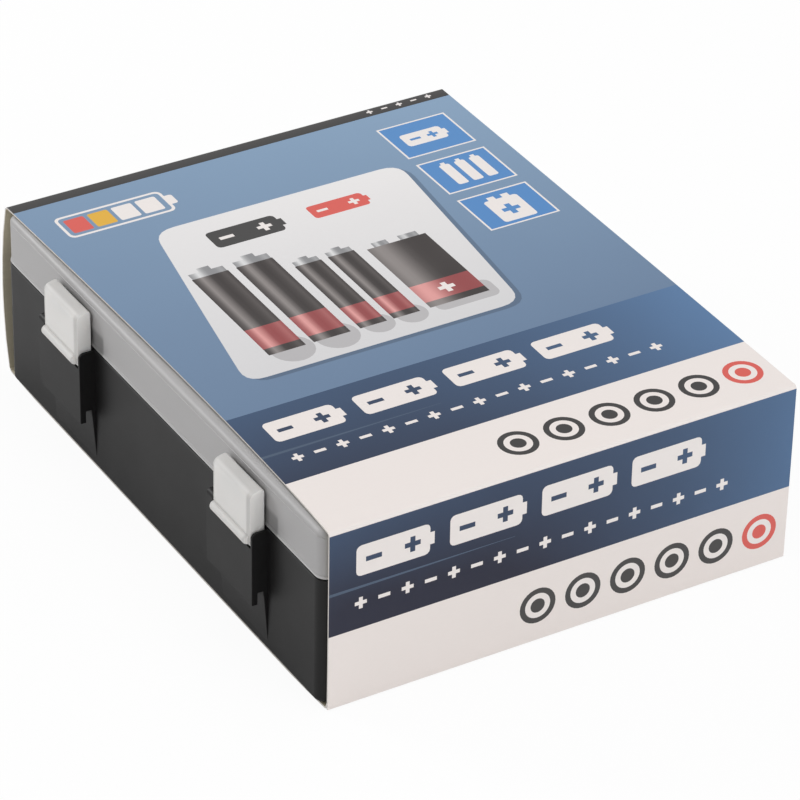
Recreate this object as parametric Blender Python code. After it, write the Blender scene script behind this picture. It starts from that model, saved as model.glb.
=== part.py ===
"""Storage box for upright batteries, standing in its printed card sleeve.

A black base holds a tray of cell pockets. A frosted lid turns on two pinned hinges at the
back, and two frosted latches turn on pins at the front of the lid. The folded card sleeve
is a tube that is open at the latch side and at the hinge side, and slides off the box.

Metres, +Z up. The origin is the centre of the sleeve's underside. X runs along the latch
side, -Y is the latch side and +Y is the hinge side.
"""
import math

import bmesh
import bpy
from mathutils import Matrix, Vector

# Sleeve
SLEEVE_LENGTH = 0.186
SLEEVE_DEPTH = 0.144
SLEEVE_HEIGHT = 0.056
CARD = 0.0005
FOLD_RADIUS = 0.0011
FLAP_DROP = 0.0104
FLAP_INSET = 0.0008
PLAY_AT_FLAP = 0.0009
PLAY_AT_FAR_END = 0.0019

# Clearances
FIT = 0.0003
OVERRUN = 0.002

# Box walls
BOX_PROUD = 0.0015
LID_HEIGHT = 0.0150
WALL = 0.0016
FLOOR = 0.0016
LID_TOP = 0.0016
CORNER_RADIUS = 0.0036
FOOT_RADIUS = 0.0016
LID_EDGE_RADIUS = 0.0016
BEAD_PROUD = 0.0003
BEAD_HEIGHT = 0.0011

# Latches, seen from the front of the box
LATCH_SPACING = 0.099
LATCH_WIDTH = 0.020
LATCH_OFFSET = 0.0014
LATCH_BARREL_RADIUS = 0.00225
LATCH_AXIS_DROP = 0.0052
LATCH_OVERLAP = 0.0048
LIP_HEIGHT = 0.0039
LIP_PROUD = 0.0012
LIP_ROUND = 0.0011
LATCH_SKIN = 0.00075
LATCH_PLATE = 0.0020
LATCH_CHEEK = 0.0020
LATCH_EDGE = 0.0005
HOOK_HEIGHT = 0.0018
HOOK_RELIEF = 0.0003
LUG_WIDTH = 0.009
LUG_RADIUS = 0.0012
LUG_NECK = 0.0018
LATCH_PIN_RADIUS = 0.00045
LATCH_PIN_LENGTH = 0.0160

# Catches on the front of the base
CATCH_WIDTH = 0.025
CATCH_OFFSET = 0.0010
CATCH_PROUD = 0.0048
CATCH_ROOF_DROP = 0.0015
CATCH_BOTTOM = 0.0170
CATCH_SKIRT = 0.0018
CATCH_SKIRT_DROP = 0.0037
CATCH_PANEL_PROUD = 0.0013
CATCH_PANEL_BOTTOM = 0.0039
NOTCH_GAP = 0.0004
NOTCH_RELIEF = 0.0002
CATCH_RIB_HEIGHT = 0.0008
CATCH_RIB_WIDTH = 0.014

# Tabs of the base that stand inside the lid's front wall
TAB_WIDTH = 0.023
TAB_OFFSET = 0.0065
TAB_HEIGHT = 0.0065
TAB_ROOT = 0.0060
TAB_THICKNESS = 0.0012
TAB_CLEARANCE = 0.0004

# Hinges at the back
HINGE_SPACING = 0.098
HINGE_BARREL_RADIUS = 0.0026
HINGE_PIN_RADIUS = 0.0010
LID_KNUCKLE_WIDTH = 0.0080
BASE_KNUCKLE_WIDTH = 0.0042
KNUCKLE_WEB = 0.0070

# Tray of cell pockets
TRAY_DROP = 0.0008
TRAY_BORDER = 0.0045
TRAY_SKIRT = 0.0012
TRAY_FLANGE = 0.0014
RIB = 0.0026
AA_POCKET = 0.0170
BLOCK_POCKET = 0.0195
AAA_POCKET = 0.0125

# Counts
AA_COLUMNS = 4
BLOCK_COLUMNS = 1
AAA_COLUMNS = 2
POCKET_ROWS = 4
CORNER_STEPS = 6
ROUND_STEPS = 24
EDGE_STEPS = 3

# Angles in degrees
KNUCKLE_ARC = (165, 410)
SHARP_ANGLE = 35

# Worked out from the sizes above
BOX_LENGTH = SLEEVE_LENGTH - 2 * CARD - PLAY_AT_FLAP - PLAY_AT_FAR_END
BOX_DEPTH = SLEEVE_DEPTH + 2 * BOX_PROUD
BOX_X = (PLAY_AT_FAR_END - PLAY_AT_FLAP) / 2
BOX_BOTTOM = CARD + FIT
BOX_TOP = SLEEVE_HEIGHT - CARD - FIT
PARTING_HEIGHT = BOX_TOP - LID_HEIGHT
FLOOR_HEIGHT = BOX_BOTTOM + FLOOR
LID_BOTTOM = PARTING_HEIGHT + FIT
LID_CEILING = BOX_TOP - LID_TOP
HINGE_AXIS_OUT = HINGE_BARREL_RADIUS + FIT
HINGE_AXIS_HEIGHT = (PARTING_HEIGHT + LID_BOTTOM) / 2
LATCH_AXIS_OUT = LATCH_BARREL_RADIUS + FIT
LATCH_AXIS_HEIGHT = BOX_TOP - LATCH_AXIS_DROP
LATCH_BOTTOM = PARTING_HEIGHT - LATCH_OVERLAP
LIP_TOP = LATCH_BOTTOM + LIP_HEIGHT
LATCH_FACE_OUT = LATCH_AXIS_OUT + LATCH_BARREL_RADIUS
TAB_FACE_IN = BEAD_PROUD + WALL + TAB_CLEARANCE
TRAY_INSET = TAB_FACE_IN + TAB_THICKNESS + FIT
TRAY_LENGTH = BOX_LENGTH - 2 * TRAY_INSET
TRAY_DEPTH = BOX_DEPTH - 2 * TRAY_INSET
TRAY_TOP = PARTING_HEIGHT - TRAY_DROP
TRAY_FOOT = FLOOR_HEIGHT + FIT
GRID_LENGTH = TRAY_LENGTH - 2 * TRAY_BORDER
GRID_DEPTH = TRAY_DEPTH - 2 * TRAY_BORDER

SIDES = (("left", -1), ("right", 1))


def clear_scene():
    """Takes every object out of the scene."""
    for old in list(bpy.data.objects):
        bpy.data.objects.remove(old, do_unlink=True)


def finish(name, colour, roughness, metallic=0.0):
    """Makes one plain material."""
    material = bpy.data.materials.new(name)
    material.use_nodes = True
    shader = material.node_tree.nodes["Principled BSDF"]
    shader.inputs["Base Color"].default_value = (*colour, 1.0)
    shader.inputs["Roughness"].default_value = roughness
    shader.inputs["Metallic"].default_value = metallic
    return material


def solid(name, mesh):
    """Puts a finished mesh in the scene as an object with its faces pointing out."""
    bmesh.ops.recalc_face_normals(mesh, faces=mesh.faces)
    data = bpy.data.meshes.new(name)
    mesh.to_mesh(data)
    mesh.free()
    body = bpy.data.objects.new(name, data)
    bpy.context.scene.collection.objects.link(body)
    return body


def rounded_outline(length, depth, radius):
    """Points of a rounded rectangle about the origin, anticlockwise."""
    points = []
    half_x = length / 2 - radius
    half_y = depth / 2 - radius
    centres = ((half_x, half_y), (-half_x, half_y), (-half_x, -half_y), (half_x, -half_y))
    for quarter, (x, y) in enumerate(centres):
        for step in range(CORNER_STEPS + 1):
            angle = (quarter + step / CORNER_STEPS) * math.pi / 2
            points.append((x + radius * math.cos(angle), y + radius * math.sin(angle)))
    return points


def arc(centre, radius, start, end, steps):
    """Points on an arc, with its angles in degrees."""
    points = []
    for step in range(steps + 1):
        angle = math.radians(start + (end - start) * step / steps)
        points.append((centre[0] + radius * math.cos(angle), centre[1] + radius * math.sin(angle)))
    return points


def bridge(mesh, lower, upper):
    """Closes the band between two loops that have as many points."""
    count = len(lower)
    for index in range(count):
        after = (index + 1) % count
        mesh.faces.new((lower[index], lower[after], upper[after], upper[index]))


def stacked_outlines(name, length, depth, radius, profile, closed=False):
    """A body whose rounded outline steps through a profile of insets and heights.

    An open profile is capped at both ends. A closed one comes back to its start, so
    that the body is a ring.
    """
    mesh = bmesh.new()
    loops = []
    for inset, height in profile:
        corner = radius - inset
        outline = rounded_outline(length - 2 * inset, depth - 2 * inset, corner)
        loops.append([mesh.verts.new((BOX_X + x, y, height)) for x, y in outline])
    for lower, upper in zip(loops, loops[1:]):
        bridge(mesh, lower, upper)
    if closed:
        bridge(mesh, loops[-1], loops[0])
    else:
        mesh.faces.new(list(reversed(loops[0])))
        mesh.faces.new(loops[-1])
    return solid(name, mesh)


def prism(name, profile, start, end, axis="X"):
    """A profile of two coordinates, drawn out along one axis.

    Along X the profile holds Y and Z, along Y it holds X and Z.
    """
    mesh = bmesh.new()
    loops = []
    for place in (start, end):
        if axis == "X":
            loops.append([mesh.verts.new((place, a, b)) for a, b in profile])
        else:
            loops.append([mesh.verts.new((a, place, b)) for a, b in profile])
    bridge(mesh, loops[0], loops[1])
    mesh.faces.new(list(reversed(loops[0])))
    mesh.faces.new(loops[1])
    return solid(name, mesh)


def round_ends(body, edge):
    """Rounds the outline of a body's two end faces, which look along X."""
    mesh = bmesh.new()
    mesh.from_mesh(body.data)
    places = [vert.co.x for vert in mesh.verts]
    low = min(places)
    high = max(places)
    ends = set()
    for face in mesh.faces:
        x = face.calc_center_median().x
        looks_along_x = abs(face.normal.x) > max(abs(face.normal.y), abs(face.normal.z))
        if looks_along_x and (x - low < FIT or high - x < FIT):
            ends.add(face)
    rims = [line for line in mesh.edges if len(ends.intersection(line.link_faces)) == 1]
    bmesh.ops.bevel(mesh, geom=rims, offset=edge, segments=2, affect="EDGES", clamp_overlap=True)
    mesh.to_mesh(body.data)
    mesh.free()


def rod(name, radius, centre, length):
    """A round bar along X."""
    circle = arc(centre[1:], radius, 0, 360, ROUND_STEPS)[:-1]
    return prism(name, circle, centre[0] - length / 2, centre[0] + length / 2)


def combine(body, tool, operation):
    """Adds a solid to a body or cuts it out, and takes the tool away."""
    step = body.modifiers.new(operation.lower(), "BOOLEAN")
    step.operation = operation
    step.solver = "EXACT"
    step.object = tool
    evaluated = body.evaluated_get(bpy.context.evaluated_depsgraph_get())
    mesh = bpy.data.meshes.new_from_object(evaluated)
    mesh.name = body.name
    body.modifiers.clear()
    before = body.data
    body.data = mesh
    bpy.data.meshes.remove(before)
    bpy.data.objects.remove(tool, do_unlink=True)


def add(body, tool):
    """Joins a solid to a body."""
    combine(body, tool, "UNION")


def cut(body, tool):
    """Cuts a solid out of a body."""
    combine(body, tool, "DIFFERENCE")


def dress(body, material, origin=(0.0, 0.0, 0.0), parent=None):
    """Gives a body its material, its origin and its parent, and shades it smooth."""
    body.data.materials.clear()
    body.data.materials.append(material)
    body.data.transform(Matrix.Translation(-Vector(origin)))
    body.location = origin
    body.data.shade_smooth()
    body.data.set_sharp_from_angle(angle=math.radians(SHARP_ANGLE))
    if parent is not None:
        body.parent = parent
        body.matrix_parent_inverse = Matrix.Translation(-parent.matrix_world.translation)
    bpy.context.view_layer.update()
    return body


def front(points):
    """Turns distances out from the base's front wall into Y, beside their heights."""
    return [(-BOX_DEPTH / 2 - out, height) for out, height in points]


def back(points):
    """Turns distances out from the base's back wall into Y, beside their heights."""
    return [(BOX_DEPTH / 2 + out, height) for out, height in points]


def catch_x(side):
    """Middle of a catch along X; the pair sits a little to the right on the box."""
    return BOX_X + CATCH_OFFSET + side * LATCH_SPACING / 2


def latch_x(side):
    """Middle of a latch along X, which sits a little to one side of its catch."""
    return catch_x(side) + LATCH_OFFSET


def latch_axis(side):
    """Middle of a latch's pin."""
    return (latch_x(side), -BOX_DEPTH / 2 - LATCH_AXIS_OUT, LATCH_AXIS_HEIGHT)


def hinge_axis(side):
    """Middle of a hinge's pin."""
    return (BOX_X + side * HINGE_SPACING / 2, BOX_DEPTH / 2 + HINGE_AXIS_OUT, HINGE_AXIS_HEIGHT)


def catch_block():
    """Outline of a catch: the block, its hanging skirt and the tapered panel below it."""
    roof = PARTING_HEIGHT - FIT
    eaves = roof - CATCH_ROOF_DROP
    inner_bottom = CATCH_BOTTOM + CATCH_SKIRT_DROP
    shoulder = arc((CATCH_PROUD - CATCH_ROOF_DROP, eaves), CATCH_ROOF_DROP, 90, 0, EDGE_STEPS)
    return front([
        (-WALL / 2, roof),
        *shoulder,
        (CATCH_PROUD, CATCH_BOTTOM),
        (CATCH_PROUD - CATCH_SKIRT, CATCH_BOTTOM),
        (CATCH_PROUD - CATCH_SKIRT, inner_bottom),
        (CATCH_PANEL_PROUD, inner_bottom),
        (0.0, CATCH_PANEL_BOTTOM),
        (-WALL / 2, CATCH_PANEL_BOTTOM),
    ])


def add_catch(base, side):
    """One catch with its notch and its small rib, and the tab beside it."""
    middle = catch_x(side)
    block = prism("block", catch_block(), middle - CATCH_WIDTH / 2, middle + CATCH_WIDTH / 2)
    add(base, block)
    notch_half = LATCH_WIDTH / 2 + NOTCH_GAP
    notch_floor = LATCH_BOTTOM - NOTCH_GAP
    notch = front([
        (-NOTCH_RELIEF, notch_floor),
        (CATCH_PROUD + OVERRUN, notch_floor),
        (CATCH_PROUD + OVERRUN, PARTING_HEIGHT + OVERRUN),
        (-NOTCH_RELIEF, PARTING_HEIGHT + OVERRUN),
    ])
    cut(base, prism("notch", notch, latch_x(side) - notch_half, latch_x(side) + notch_half))
    rib_bottom = LATCH_BOTTOM + HOOK_HEIGHT + FIT
    rib = front([
        (-WALL / 2, rib_bottom),
        (HOOK_RELIEF, rib_bottom),
        (HOOK_RELIEF, rib_bottom + CATCH_RIB_HEIGHT / 2),
        (-NOTCH_RELIEF, rib_bottom + CATCH_RIB_HEIGHT),
        (-WALL / 2, rib_bottom + CATCH_RIB_HEIGHT),
    ])
    rib_half = CATCH_RIB_WIDTH / 2
    add(base, prism("rib", rib, latch_x(side) - rib_half, latch_x(side) + rib_half))
    tab_back = TAB_FACE_IN + TAB_THICKNESS
    tab = front([
        (-WALL / 2, PARTING_HEIGHT - TAB_ROOT),
        (-tab_back, PARTING_HEIGHT - TAB_ROOT + tab_back),
        (-tab_back, PARTING_HEIGHT + TAB_HEIGHT),
        (-TAB_FACE_IN, PARTING_HEIGHT + TAB_HEIGHT),
        (-TAB_FACE_IN, PARTING_HEIGHT - FIT),
        (-WALL / 2, PARTING_HEIGHT - FIT),
    ])
    tab_x = middle + TAB_OFFSET
    add(base, prism("tab", tab, tab_x - TAB_WIDTH / 2, tab_x + TAB_WIDTH / 2))


def knuckle(turn):
    """Outline of a hinge knuckle: a barrel with a web to the wall.

    The web of the base hangs below the barrel and the web of the lid stands above it;
    turn is -1 for the base and 1 for the lid.
    """
    barrel = arc((HINGE_AXIS_OUT, 0.0), HINGE_BARREL_RADIUS, *KNUCKLE_ARC, ROUND_STEPS // 2)
    outline = [(-WALL / 2, FIT + FIT / 2), *barrel, (-WALL / 2, KNUCKLE_WEB)]
    return back([(out, HINGE_AXIS_HEIGHT + turn * rise) for out, rise in outline])


def base_shell(material):
    """The black base: an open tray with two catches, two tabs and four hinge knuckles."""
    foot_share = 1 - math.sqrt(0.5)
    profile = [
        (FOOT_RADIUS, BOX_BOTTOM),
        (FOOT_RADIUS * foot_share, BOX_BOTTOM + FOOT_RADIUS * foot_share),
        (0.0, BOX_BOTTOM + FOOT_RADIUS),
        (0.0, PARTING_HEIGHT),
        (WALL, PARTING_HEIGHT),
        (WALL, FLOOR_HEIGHT),
    ]
    base = stacked_outlines("base_shell", BOX_LENGTH, BOX_DEPTH, CORNER_RADIUS, profile)
    for _, side in SIDES:
        add_catch(base, side)
        x, y, z = hinge_axis(side)
        outline = knuckle(-1)
        inner = LID_KNUCKLE_WIDTH / 2 + FIT
        for hand in (-1, 1):
            ends = sorted((x + hand * inner, x + hand * (inner + BASE_KNUCKLE_WIDTH)))
            add(base, prism("knuckle", outline, *ends))
        bore = inner + BASE_KNUCKLE_WIDTH + OVERRUN
        cut(base, rod("bore", HINGE_PIN_RADIUS + FIT, (x, y, z), 2 * bore))
    return dress(base, material)


def lid_shell(material):
    """The frosted lid, with a bead round its lower edge, hinge knuckles and latch lugs."""
    radius = LID_EDGE_RADIUS
    wall_inset = BEAD_PROUD
    crown = []
    for step in range(EDGE_STEPS + 1):
        angle = step / EDGE_STEPS * math.pi / 2
        inset = wall_inset + radius * (1 - math.cos(angle))
        crown.append((inset, BOX_TOP - radius * (1 - math.sin(angle))))
    profile = [
        (wall_inset + WALL, LID_CEILING),
        (wall_inset + WALL, LID_BOTTOM),
        (0.0, LID_BOTTOM),
        (0.0, LID_BOTTOM + BEAD_HEIGHT - BEAD_PROUD),
        (wall_inset, LID_BOTTOM + BEAD_HEIGHT),
        *crown,
    ]
    lid = stacked_outlines("lid", BOX_LENGTH, BOX_DEPTH, CORNER_RADIUS, profile)
    for _, side in SIDES:
        x, y, z = hinge_axis(side)
        outline = knuckle(1)
        half = LID_KNUCKLE_WIDTH / 2
        add(lid, prism("knuckle", outline, x - half, x + half))
        cut(lid, rod("bore", HINGE_PIN_RADIUS + FIT, (x, y, z), LID_KNUCKLE_WIDTH + OVERRUN))
        x, y, z = latch_axis(side)
        reach = math.degrees(math.asin(LUG_NECK / 2 / LUG_RADIUS))
        nose = arc((LATCH_AXIS_OUT, z), LUG_RADIUS, 180 - reach, -180 + reach, ROUND_STEPS // 2)
        root = -wall_inset - WALL / 2
        lug = front([(root, z + LUG_NECK / 2), *nose, (root, z - LUG_NECK / 2)])
        add(lid, prism("lug", lug, x - LUG_WIDTH / 2, x + LUG_WIDTH / 2))
        cut(lid, rod("bore", LATCH_PIN_RADIUS + FIT, (x, y, z), LUG_WIDTH + OVERRUN))
    return dress(lid, material, origin=(BOX_X, *hinge_axis(1)[1:]))


def latch(name, side, material, lid):
    """A latch: a round top on its pin, a plate with two cheeks, a lip and an inner hook."""
    x, y, z = latch_axis(side)
    barrel = arc((LATCH_AXIS_OUT, z), LATCH_BARREL_RADIUS, 180, 0, ROUND_STEPS // 2)
    lip_out = LATCH_FACE_OUT + LIP_PROUD
    lip = arc((lip_out - LIP_ROUND, LIP_TOP - LIP_ROUND), LIP_ROUND, 90, 0, EDGE_STEPS)
    under = arc((lip_out - LIP_ROUND, LATCH_BOTTOM + LIP_ROUND), LIP_ROUND, 0, -90, EDGE_STEPS)
    outline = front([
        *barrel,
        (LATCH_FACE_OUT, LIP_TOP + LIP_PROUD / 2),
        *lip,
        *under,
        (FIT, LATCH_BOTTOM),
    ])
    half = LATCH_WIDTH / 2
    body = prism(name, outline, x - half, x + half)
    relief = front([
        (-OVERRUN, LATCH_BOTTOM - OVERRUN),
        (FIT + HOOK_RELIEF, LATCH_BOTTOM - OVERRUN),
        (FIT + HOOK_RELIEF, LIP_TOP - HOOK_RELIEF),
        (FIT - HOOK_RELIEF, LIP_TOP + HOOK_RELIEF),
        (-OVERRUN, LIP_TOP + HOOK_RELIEF),
    ])
    cut(body, prism("relief", relief, x - half - OVERRUN, x + half + OVERRUN))
    inside = half - LATCH_CHEEK
    ceiling = z - LATCH_BARREL_RADIUS - FIT
    room = front([
        (-OVERRUN, LATCH_BOTTOM + HOOK_HEIGHT),
        (LATCH_FACE_OUT - LATCH_PLATE, LATCH_BOTTOM + HOOK_HEIGHT),
        (LATCH_FACE_OUT - LATCH_PLATE, ceiling + LATCH_SKIN),
        (-OVERRUN, ceiling + LATCH_SKIN),
    ])
    cut(body, prism("room", room, x - inside, x + inside))
    slot = front([
        (-OVERRUN, ceiling),
        (LATCH_FACE_OUT - LATCH_SKIN, ceiling),
        (LATCH_FACE_OUT - LATCH_SKIN, z + LATCH_BARREL_RADIUS + OVERRUN),
        (-OVERRUN, z + LATCH_BARREL_RADIUS + OVERRUN),
    ])
    slot_half = LUG_WIDTH / 2 + FIT
    cut(body, prism("slot", slot, x - slot_half, x + slot_half))
    cut(body, rod("bore", LATCH_PIN_RADIUS + FIT, (x, y, z), LATCH_PIN_LENGTH + 2 * FIT))
    round_ends(body, LATCH_EDGE)
    return dress(body, material, origin=(x, y, z), parent=lid)


def pin(name, radius, centre, length, material, parent):
    """A steel pin along X."""
    return dress(rod(name, radius, centre, length), material, origin=centre, parent=parent)


def tray_frame(material, base):
    """The tray's border: an upturned channel that runs round the pockets."""
    inner = TRAY_BORDER
    under = TRAY_TOP - TRAY_FLANGE
    profile = [
        (0.0, TRAY_FOOT),
        (0.0, TRAY_TOP),
        (inner, TRAY_TOP),
        (inner, TRAY_FOOT),
        (inner - TRAY_SKIRT, TRAY_FOOT),
        (inner - TRAY_SKIRT, under),
        (TRAY_SKIRT, under),
        (TRAY_SKIRT, TRAY_FOOT),
    ]
    corner = TRAY_BORDER + FIT
    frame = stacked_outlines("tray_frame", TRAY_LENGTH, TRAY_DEPTH, corner, profile, closed=True)
    return dress(frame, material, parent=base)


def comb(start, end, slots, from_top):
    """Outline of an upright rib with half-height slots where other ribs cross it."""
    bottom = TRAY_FOOT
    top = TRAY_TOP
    middle = (top + bottom) / 2
    half = RIB / 2 + FIT
    edge = top if from_top else bottom
    depth = middle - FIT / 2 if from_top else middle + FIT / 2
    points = [(start, edge)]
    for place in sorted(slots):
        points += [(place - half, edge), (place - half, depth)]
        points += [(place + half, depth), (place + half, edge)]
    points.append((end, edge))
    other = bottom if from_top else top
    return points + [(end, other), (start, other)]


def tray_ribs(material, base):
    """The ribs between the pockets, which cross each other at half height."""
    widths = [AA_POCKET] * AA_COLUMNS + [BLOCK_POCKET] * BLOCK_COLUMNS + [AAA_POCKET] * AAA_COLUMNS
    right = BOX_X + GRID_LENGTH / 2
    left = BOX_X - GRID_LENGTH / 2
    columns = []
    place = right
    for width in widths:
        place -= width + RIB / 2
        columns.append(place)
        place -= RIB / 2
    row_pitch = (GRID_DEPTH + RIB) / POCKET_ROWS
    rows = [-GRID_DEPTH / 2 - RIB / 2 + row_pitch * (row + 1) for row in range(POCKET_ROWS - 1)]
    end_y = GRID_DEPTH / 2 - FIT
    for number, x in enumerate(columns, start=1):
        slots = rows if number < len(columns) else []
        outline = comb(-end_y, end_y, slots, from_top=True)
        body = prism(f"tray_long_rib_{number}", outline, x - RIB / 2, x + RIB / 2)
        dress(body, material, parent=base)
    last = columns[-1] + RIB / 2 + FIT
    for number, y in enumerate(rows, start=1):
        outline = comb(last, right - FIT, columns[:-1], from_top=False)
        body = prism(f"tray_cross_rib_{number}", outline, y - RIB / 2, y + RIB / 2, axis="Y")
        dress(body, material, parent=base)
    outline = comb(left + FIT, columns[-1] - RIB / 2 - FIT, [], from_top=False)
    y = rows[-1]
    body = prism("tray_end_rib", outline, y - RIB / 2, y + RIB / 2, axis="Y")
    dress(body, material, parent=base)


def card_sleeve(material):
    """The folded card tube, with its glued flap inside the panel at +X."""
    mesh = bmesh.new()
    middle = SLEEVE_HEIGHT / 2
    outer = rounded_outline(SLEEVE_LENGTH, SLEEVE_HEIGHT, FOLD_RADIUS)
    inner = rounded_outline(SLEEVE_LENGTH - 2 * CARD, SLEEVE_HEIGHT - 2 * CARD, FOLD_RADIUS - CARD)
    mouth = SLEEVE_DEPTH / 2
    loops = []
    for outline, y in ((outer, -mouth), (outer, mouth), (inner, mouth), (inner, -mouth)):
        loops.append([mesh.verts.new((x, y, middle + z)) for x, z in outline])
    for lower, upper in zip(loops, loops[1:] + loops[:1]):
        bridge(mesh, lower, upper)
    sleeve = solid("card_sleeve", mesh)
    face = SLEEVE_LENGTH / 2 - CARD
    flap_top = SLEEVE_HEIGHT - FLAP_DROP
    flap_foot = CARD + FOLD_RADIUS
    flap = [
        (face - CARD, flap_foot),
        (face + CARD / 2, flap_foot),
        (face + CARD / 2, flap_top),
        (face - CARD, flap_top),
    ]
    add(sleeve, prism("flap", flap, FLAP_INSET - mouth, mouth - FLAP_INSET, axis="Y"))
    return dress(sleeve, material)


def build():
    """Makes every piece of the box."""
    clear_scene()
    black = finish("black_plastic", (0.018, 0.018, 0.019), 0.35)
    tray_black = finish("tray_plastic", (0.024, 0.023, 0.024), 0.45)
    frosted = finish("frosted_plastic", (0.55, 0.55, 0.54), 0.4)
    latch_white = finish("latch_plastic", (0.72, 0.71, 0.68), 0.4)
    steel = finish("pin_steel", (0.56, 0.56, 0.57), 0.3, metallic=1.0)
    card = finish("printed_card", (0.24, 0.36, 0.55), 0.4)

    base = base_shell(black)
    tray_frame(tray_black, base)
    tray_ribs(tray_black, base)
    lid = lid_shell(frosted)
    hinge_length = LID_KNUCKLE_WIDTH + 2 * (FIT + BASE_KNUCKLE_WIDTH)
    for hand, side in SIDES:
        pin(f"hinge_pin_{hand}", HINGE_PIN_RADIUS, hinge_axis(side), hinge_length, steel, base)
        latch(f"latch_{hand}", side, latch_white, lid)
        pin(f"latch_pin_{hand}", LATCH_PIN_RADIUS, latch_axis(side), LATCH_PIN_LENGTH, steel, lid)
    card_sleeve(card)


build()
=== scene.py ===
"""Looks of the storage box for batteries in its printed card sleeve.

Lengths in this file are in millimetres, and become metres where a piece is finished. The
frame is the model's: the origin is the centre of the sleeve's underside, X runs along the
latch side, -Y is the latch side and Z is up.
"""

import logging
import math
from collections.abc import Callable, Mapping, Sequence
from dataclasses import dataclass, field
from enum import Enum
from functools import cache
from typing import Any, Optional, Union

import bmesh
import bpy
from mathutils import Matrix, Vector, noise
from mathutils.geometry import delaunay_2d_cdt

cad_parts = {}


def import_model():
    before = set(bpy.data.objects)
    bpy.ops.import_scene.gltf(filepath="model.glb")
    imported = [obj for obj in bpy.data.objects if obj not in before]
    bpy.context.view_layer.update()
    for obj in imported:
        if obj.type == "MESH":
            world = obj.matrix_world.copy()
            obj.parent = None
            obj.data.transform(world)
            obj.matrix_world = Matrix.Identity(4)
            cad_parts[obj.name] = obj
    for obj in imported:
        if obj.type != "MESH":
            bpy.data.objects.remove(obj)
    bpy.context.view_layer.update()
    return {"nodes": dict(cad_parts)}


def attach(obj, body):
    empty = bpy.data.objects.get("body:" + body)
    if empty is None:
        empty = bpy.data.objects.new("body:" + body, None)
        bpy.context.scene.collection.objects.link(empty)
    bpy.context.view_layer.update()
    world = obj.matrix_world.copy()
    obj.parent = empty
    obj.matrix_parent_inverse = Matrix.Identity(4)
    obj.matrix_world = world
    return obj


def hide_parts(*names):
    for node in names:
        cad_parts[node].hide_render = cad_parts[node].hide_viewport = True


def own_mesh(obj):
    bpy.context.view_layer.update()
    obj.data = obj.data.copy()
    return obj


LOG = logging.getLogger("battery_box")
# Metres in a millimetre
METRES = 0.001

Colour = tuple[float, float, float]
Flat = tuple[float, float]
Place = tuple[float, float, float]
Amount = Union[float, "Value"]
Owner = Union[bpy.types.Material, bpy.types.World]


class Slot(Enum):
    """Names of the record's material slots, one for each kind of piece."""

    BASE = "base_plastic"
    TRAY = "tray_plastic"
    LID = "lid_plastic"
    LATCH = "latch_plastic"
    CARD = "printed_card"


class Rider(Enum):
    """The bodies that a piece can move with."""

    BOX = "box"
    LID = "lid"
    LATCH_LEFT = "latch_left"
    LATCH_RIGHT = "latch_right"
    SLEEVE = "sleeve"


class Side(Enum):
    """The two ends of the box, seen from the latch side."""

    LEFT = 0
    RIGHT = 1

    def of(self, pair: tuple[float, float]) -> float:
        """Returns this end's member of a pair."""
        return pair[self.value]


class Ink(Enum):
    """Printing inks, each with its colour at a field's dull corner and at its bright end."""

    WHITE = ((0.815, 0.752, 0.722), (0.828, 0.785, 0.765))
    PLATE = ((0.640, 0.635, 0.645), (0.820, 0.800, 0.795))
    SKY = ((0.138, 0.208, 0.322), (0.238, 0.352, 0.500))
    NAVY = ((0.020, 0.022, 0.042), (0.098, 0.190, 0.350))
    SHADE = ((0.095, 0.140, 0.215), (0.150, 0.225, 0.330))
    GLINT = ((0.050, 0.062, 0.085), (0.130, 0.210, 0.340))
    CHARCOAL = ((0.050, 0.048, 0.048), (0.070, 0.068, 0.068))
    TILE = ((0.085, 0.235, 0.520), (0.100, 0.265, 0.560))
    BROWN = ((0.018, 0.013, 0.013), (0.330, 0.300, 0.290))
    SILVER = ((0.200, 0.200, 0.210), (0.820, 0.820, 0.820))
    ROSE = ((0.230, 0.030, 0.035), (0.860, 0.420, 0.400))
    UMBRA = ((0.420, 0.410, 0.420), (0.560, 0.545, 0.550))
    RED = ((0.670, 0.115, 0.095), (0.690, 0.125, 0.105))
    AMBER = ((0.730, 0.410, 0.050), (0.740, 0.430, 0.060))

    @property
    def dull(self) -> Colour:
        """The colour at the dull corner of a field."""
        return self.value[0]

    @property
    def bright(self) -> Colour:
        """The colour at the bright end of a field."""
        return self.value[1]


# Shader graphs


def sign(operation: str, flipped: bool = False) -> Callable[["Value", Amount], "Value"]:
    """Makes the method for a sign of arithmetic.

    Args:
        operation: Name of the sum.
        flipped: Whether the value stands behind the sign.

    Returns:
        The method.
    """

    def work(self: "Value", other: Amount) -> "Value":
        """Returns the outcome of the sum."""
        return self.graph.math(operation, *((other, self) if flipped else (self, other)))

    return work


class Value:
    """One output of a shader graph, which takes the signs of arithmetic."""

    def __init__(self, graph: "Graph", socket: bpy.types.NodeSocket) -> None:
        """Wraps an output socket of a graph."""
        self.graph = graph
        self.socket = socket

    __add__, __radd__ = sign("ADD"), sign("ADD", flipped=True)
    __sub__, __rsub__ = sign("SUBTRACT"), sign("SUBTRACT", flipped=True)
    __mul__, __rmul__ = sign("MULTIPLY"), sign("MULTIPLY", flipped=True)
    __truediv__, __rtruediv__ = sign("DIVIDE"), sign("DIVIDE", flipped=True)

    def clamped(self) -> "Value":
        """Returns the value held between nought and one."""
        return self.graph.node("ShaderNodeClamp", values={0: self})

    def slope(self, start: float, width: float) -> "Value":
        """Returns nought before a start and one a width beyond it, backwards if that is negative."""
        return ((self - start) / width).clamped()


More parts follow.
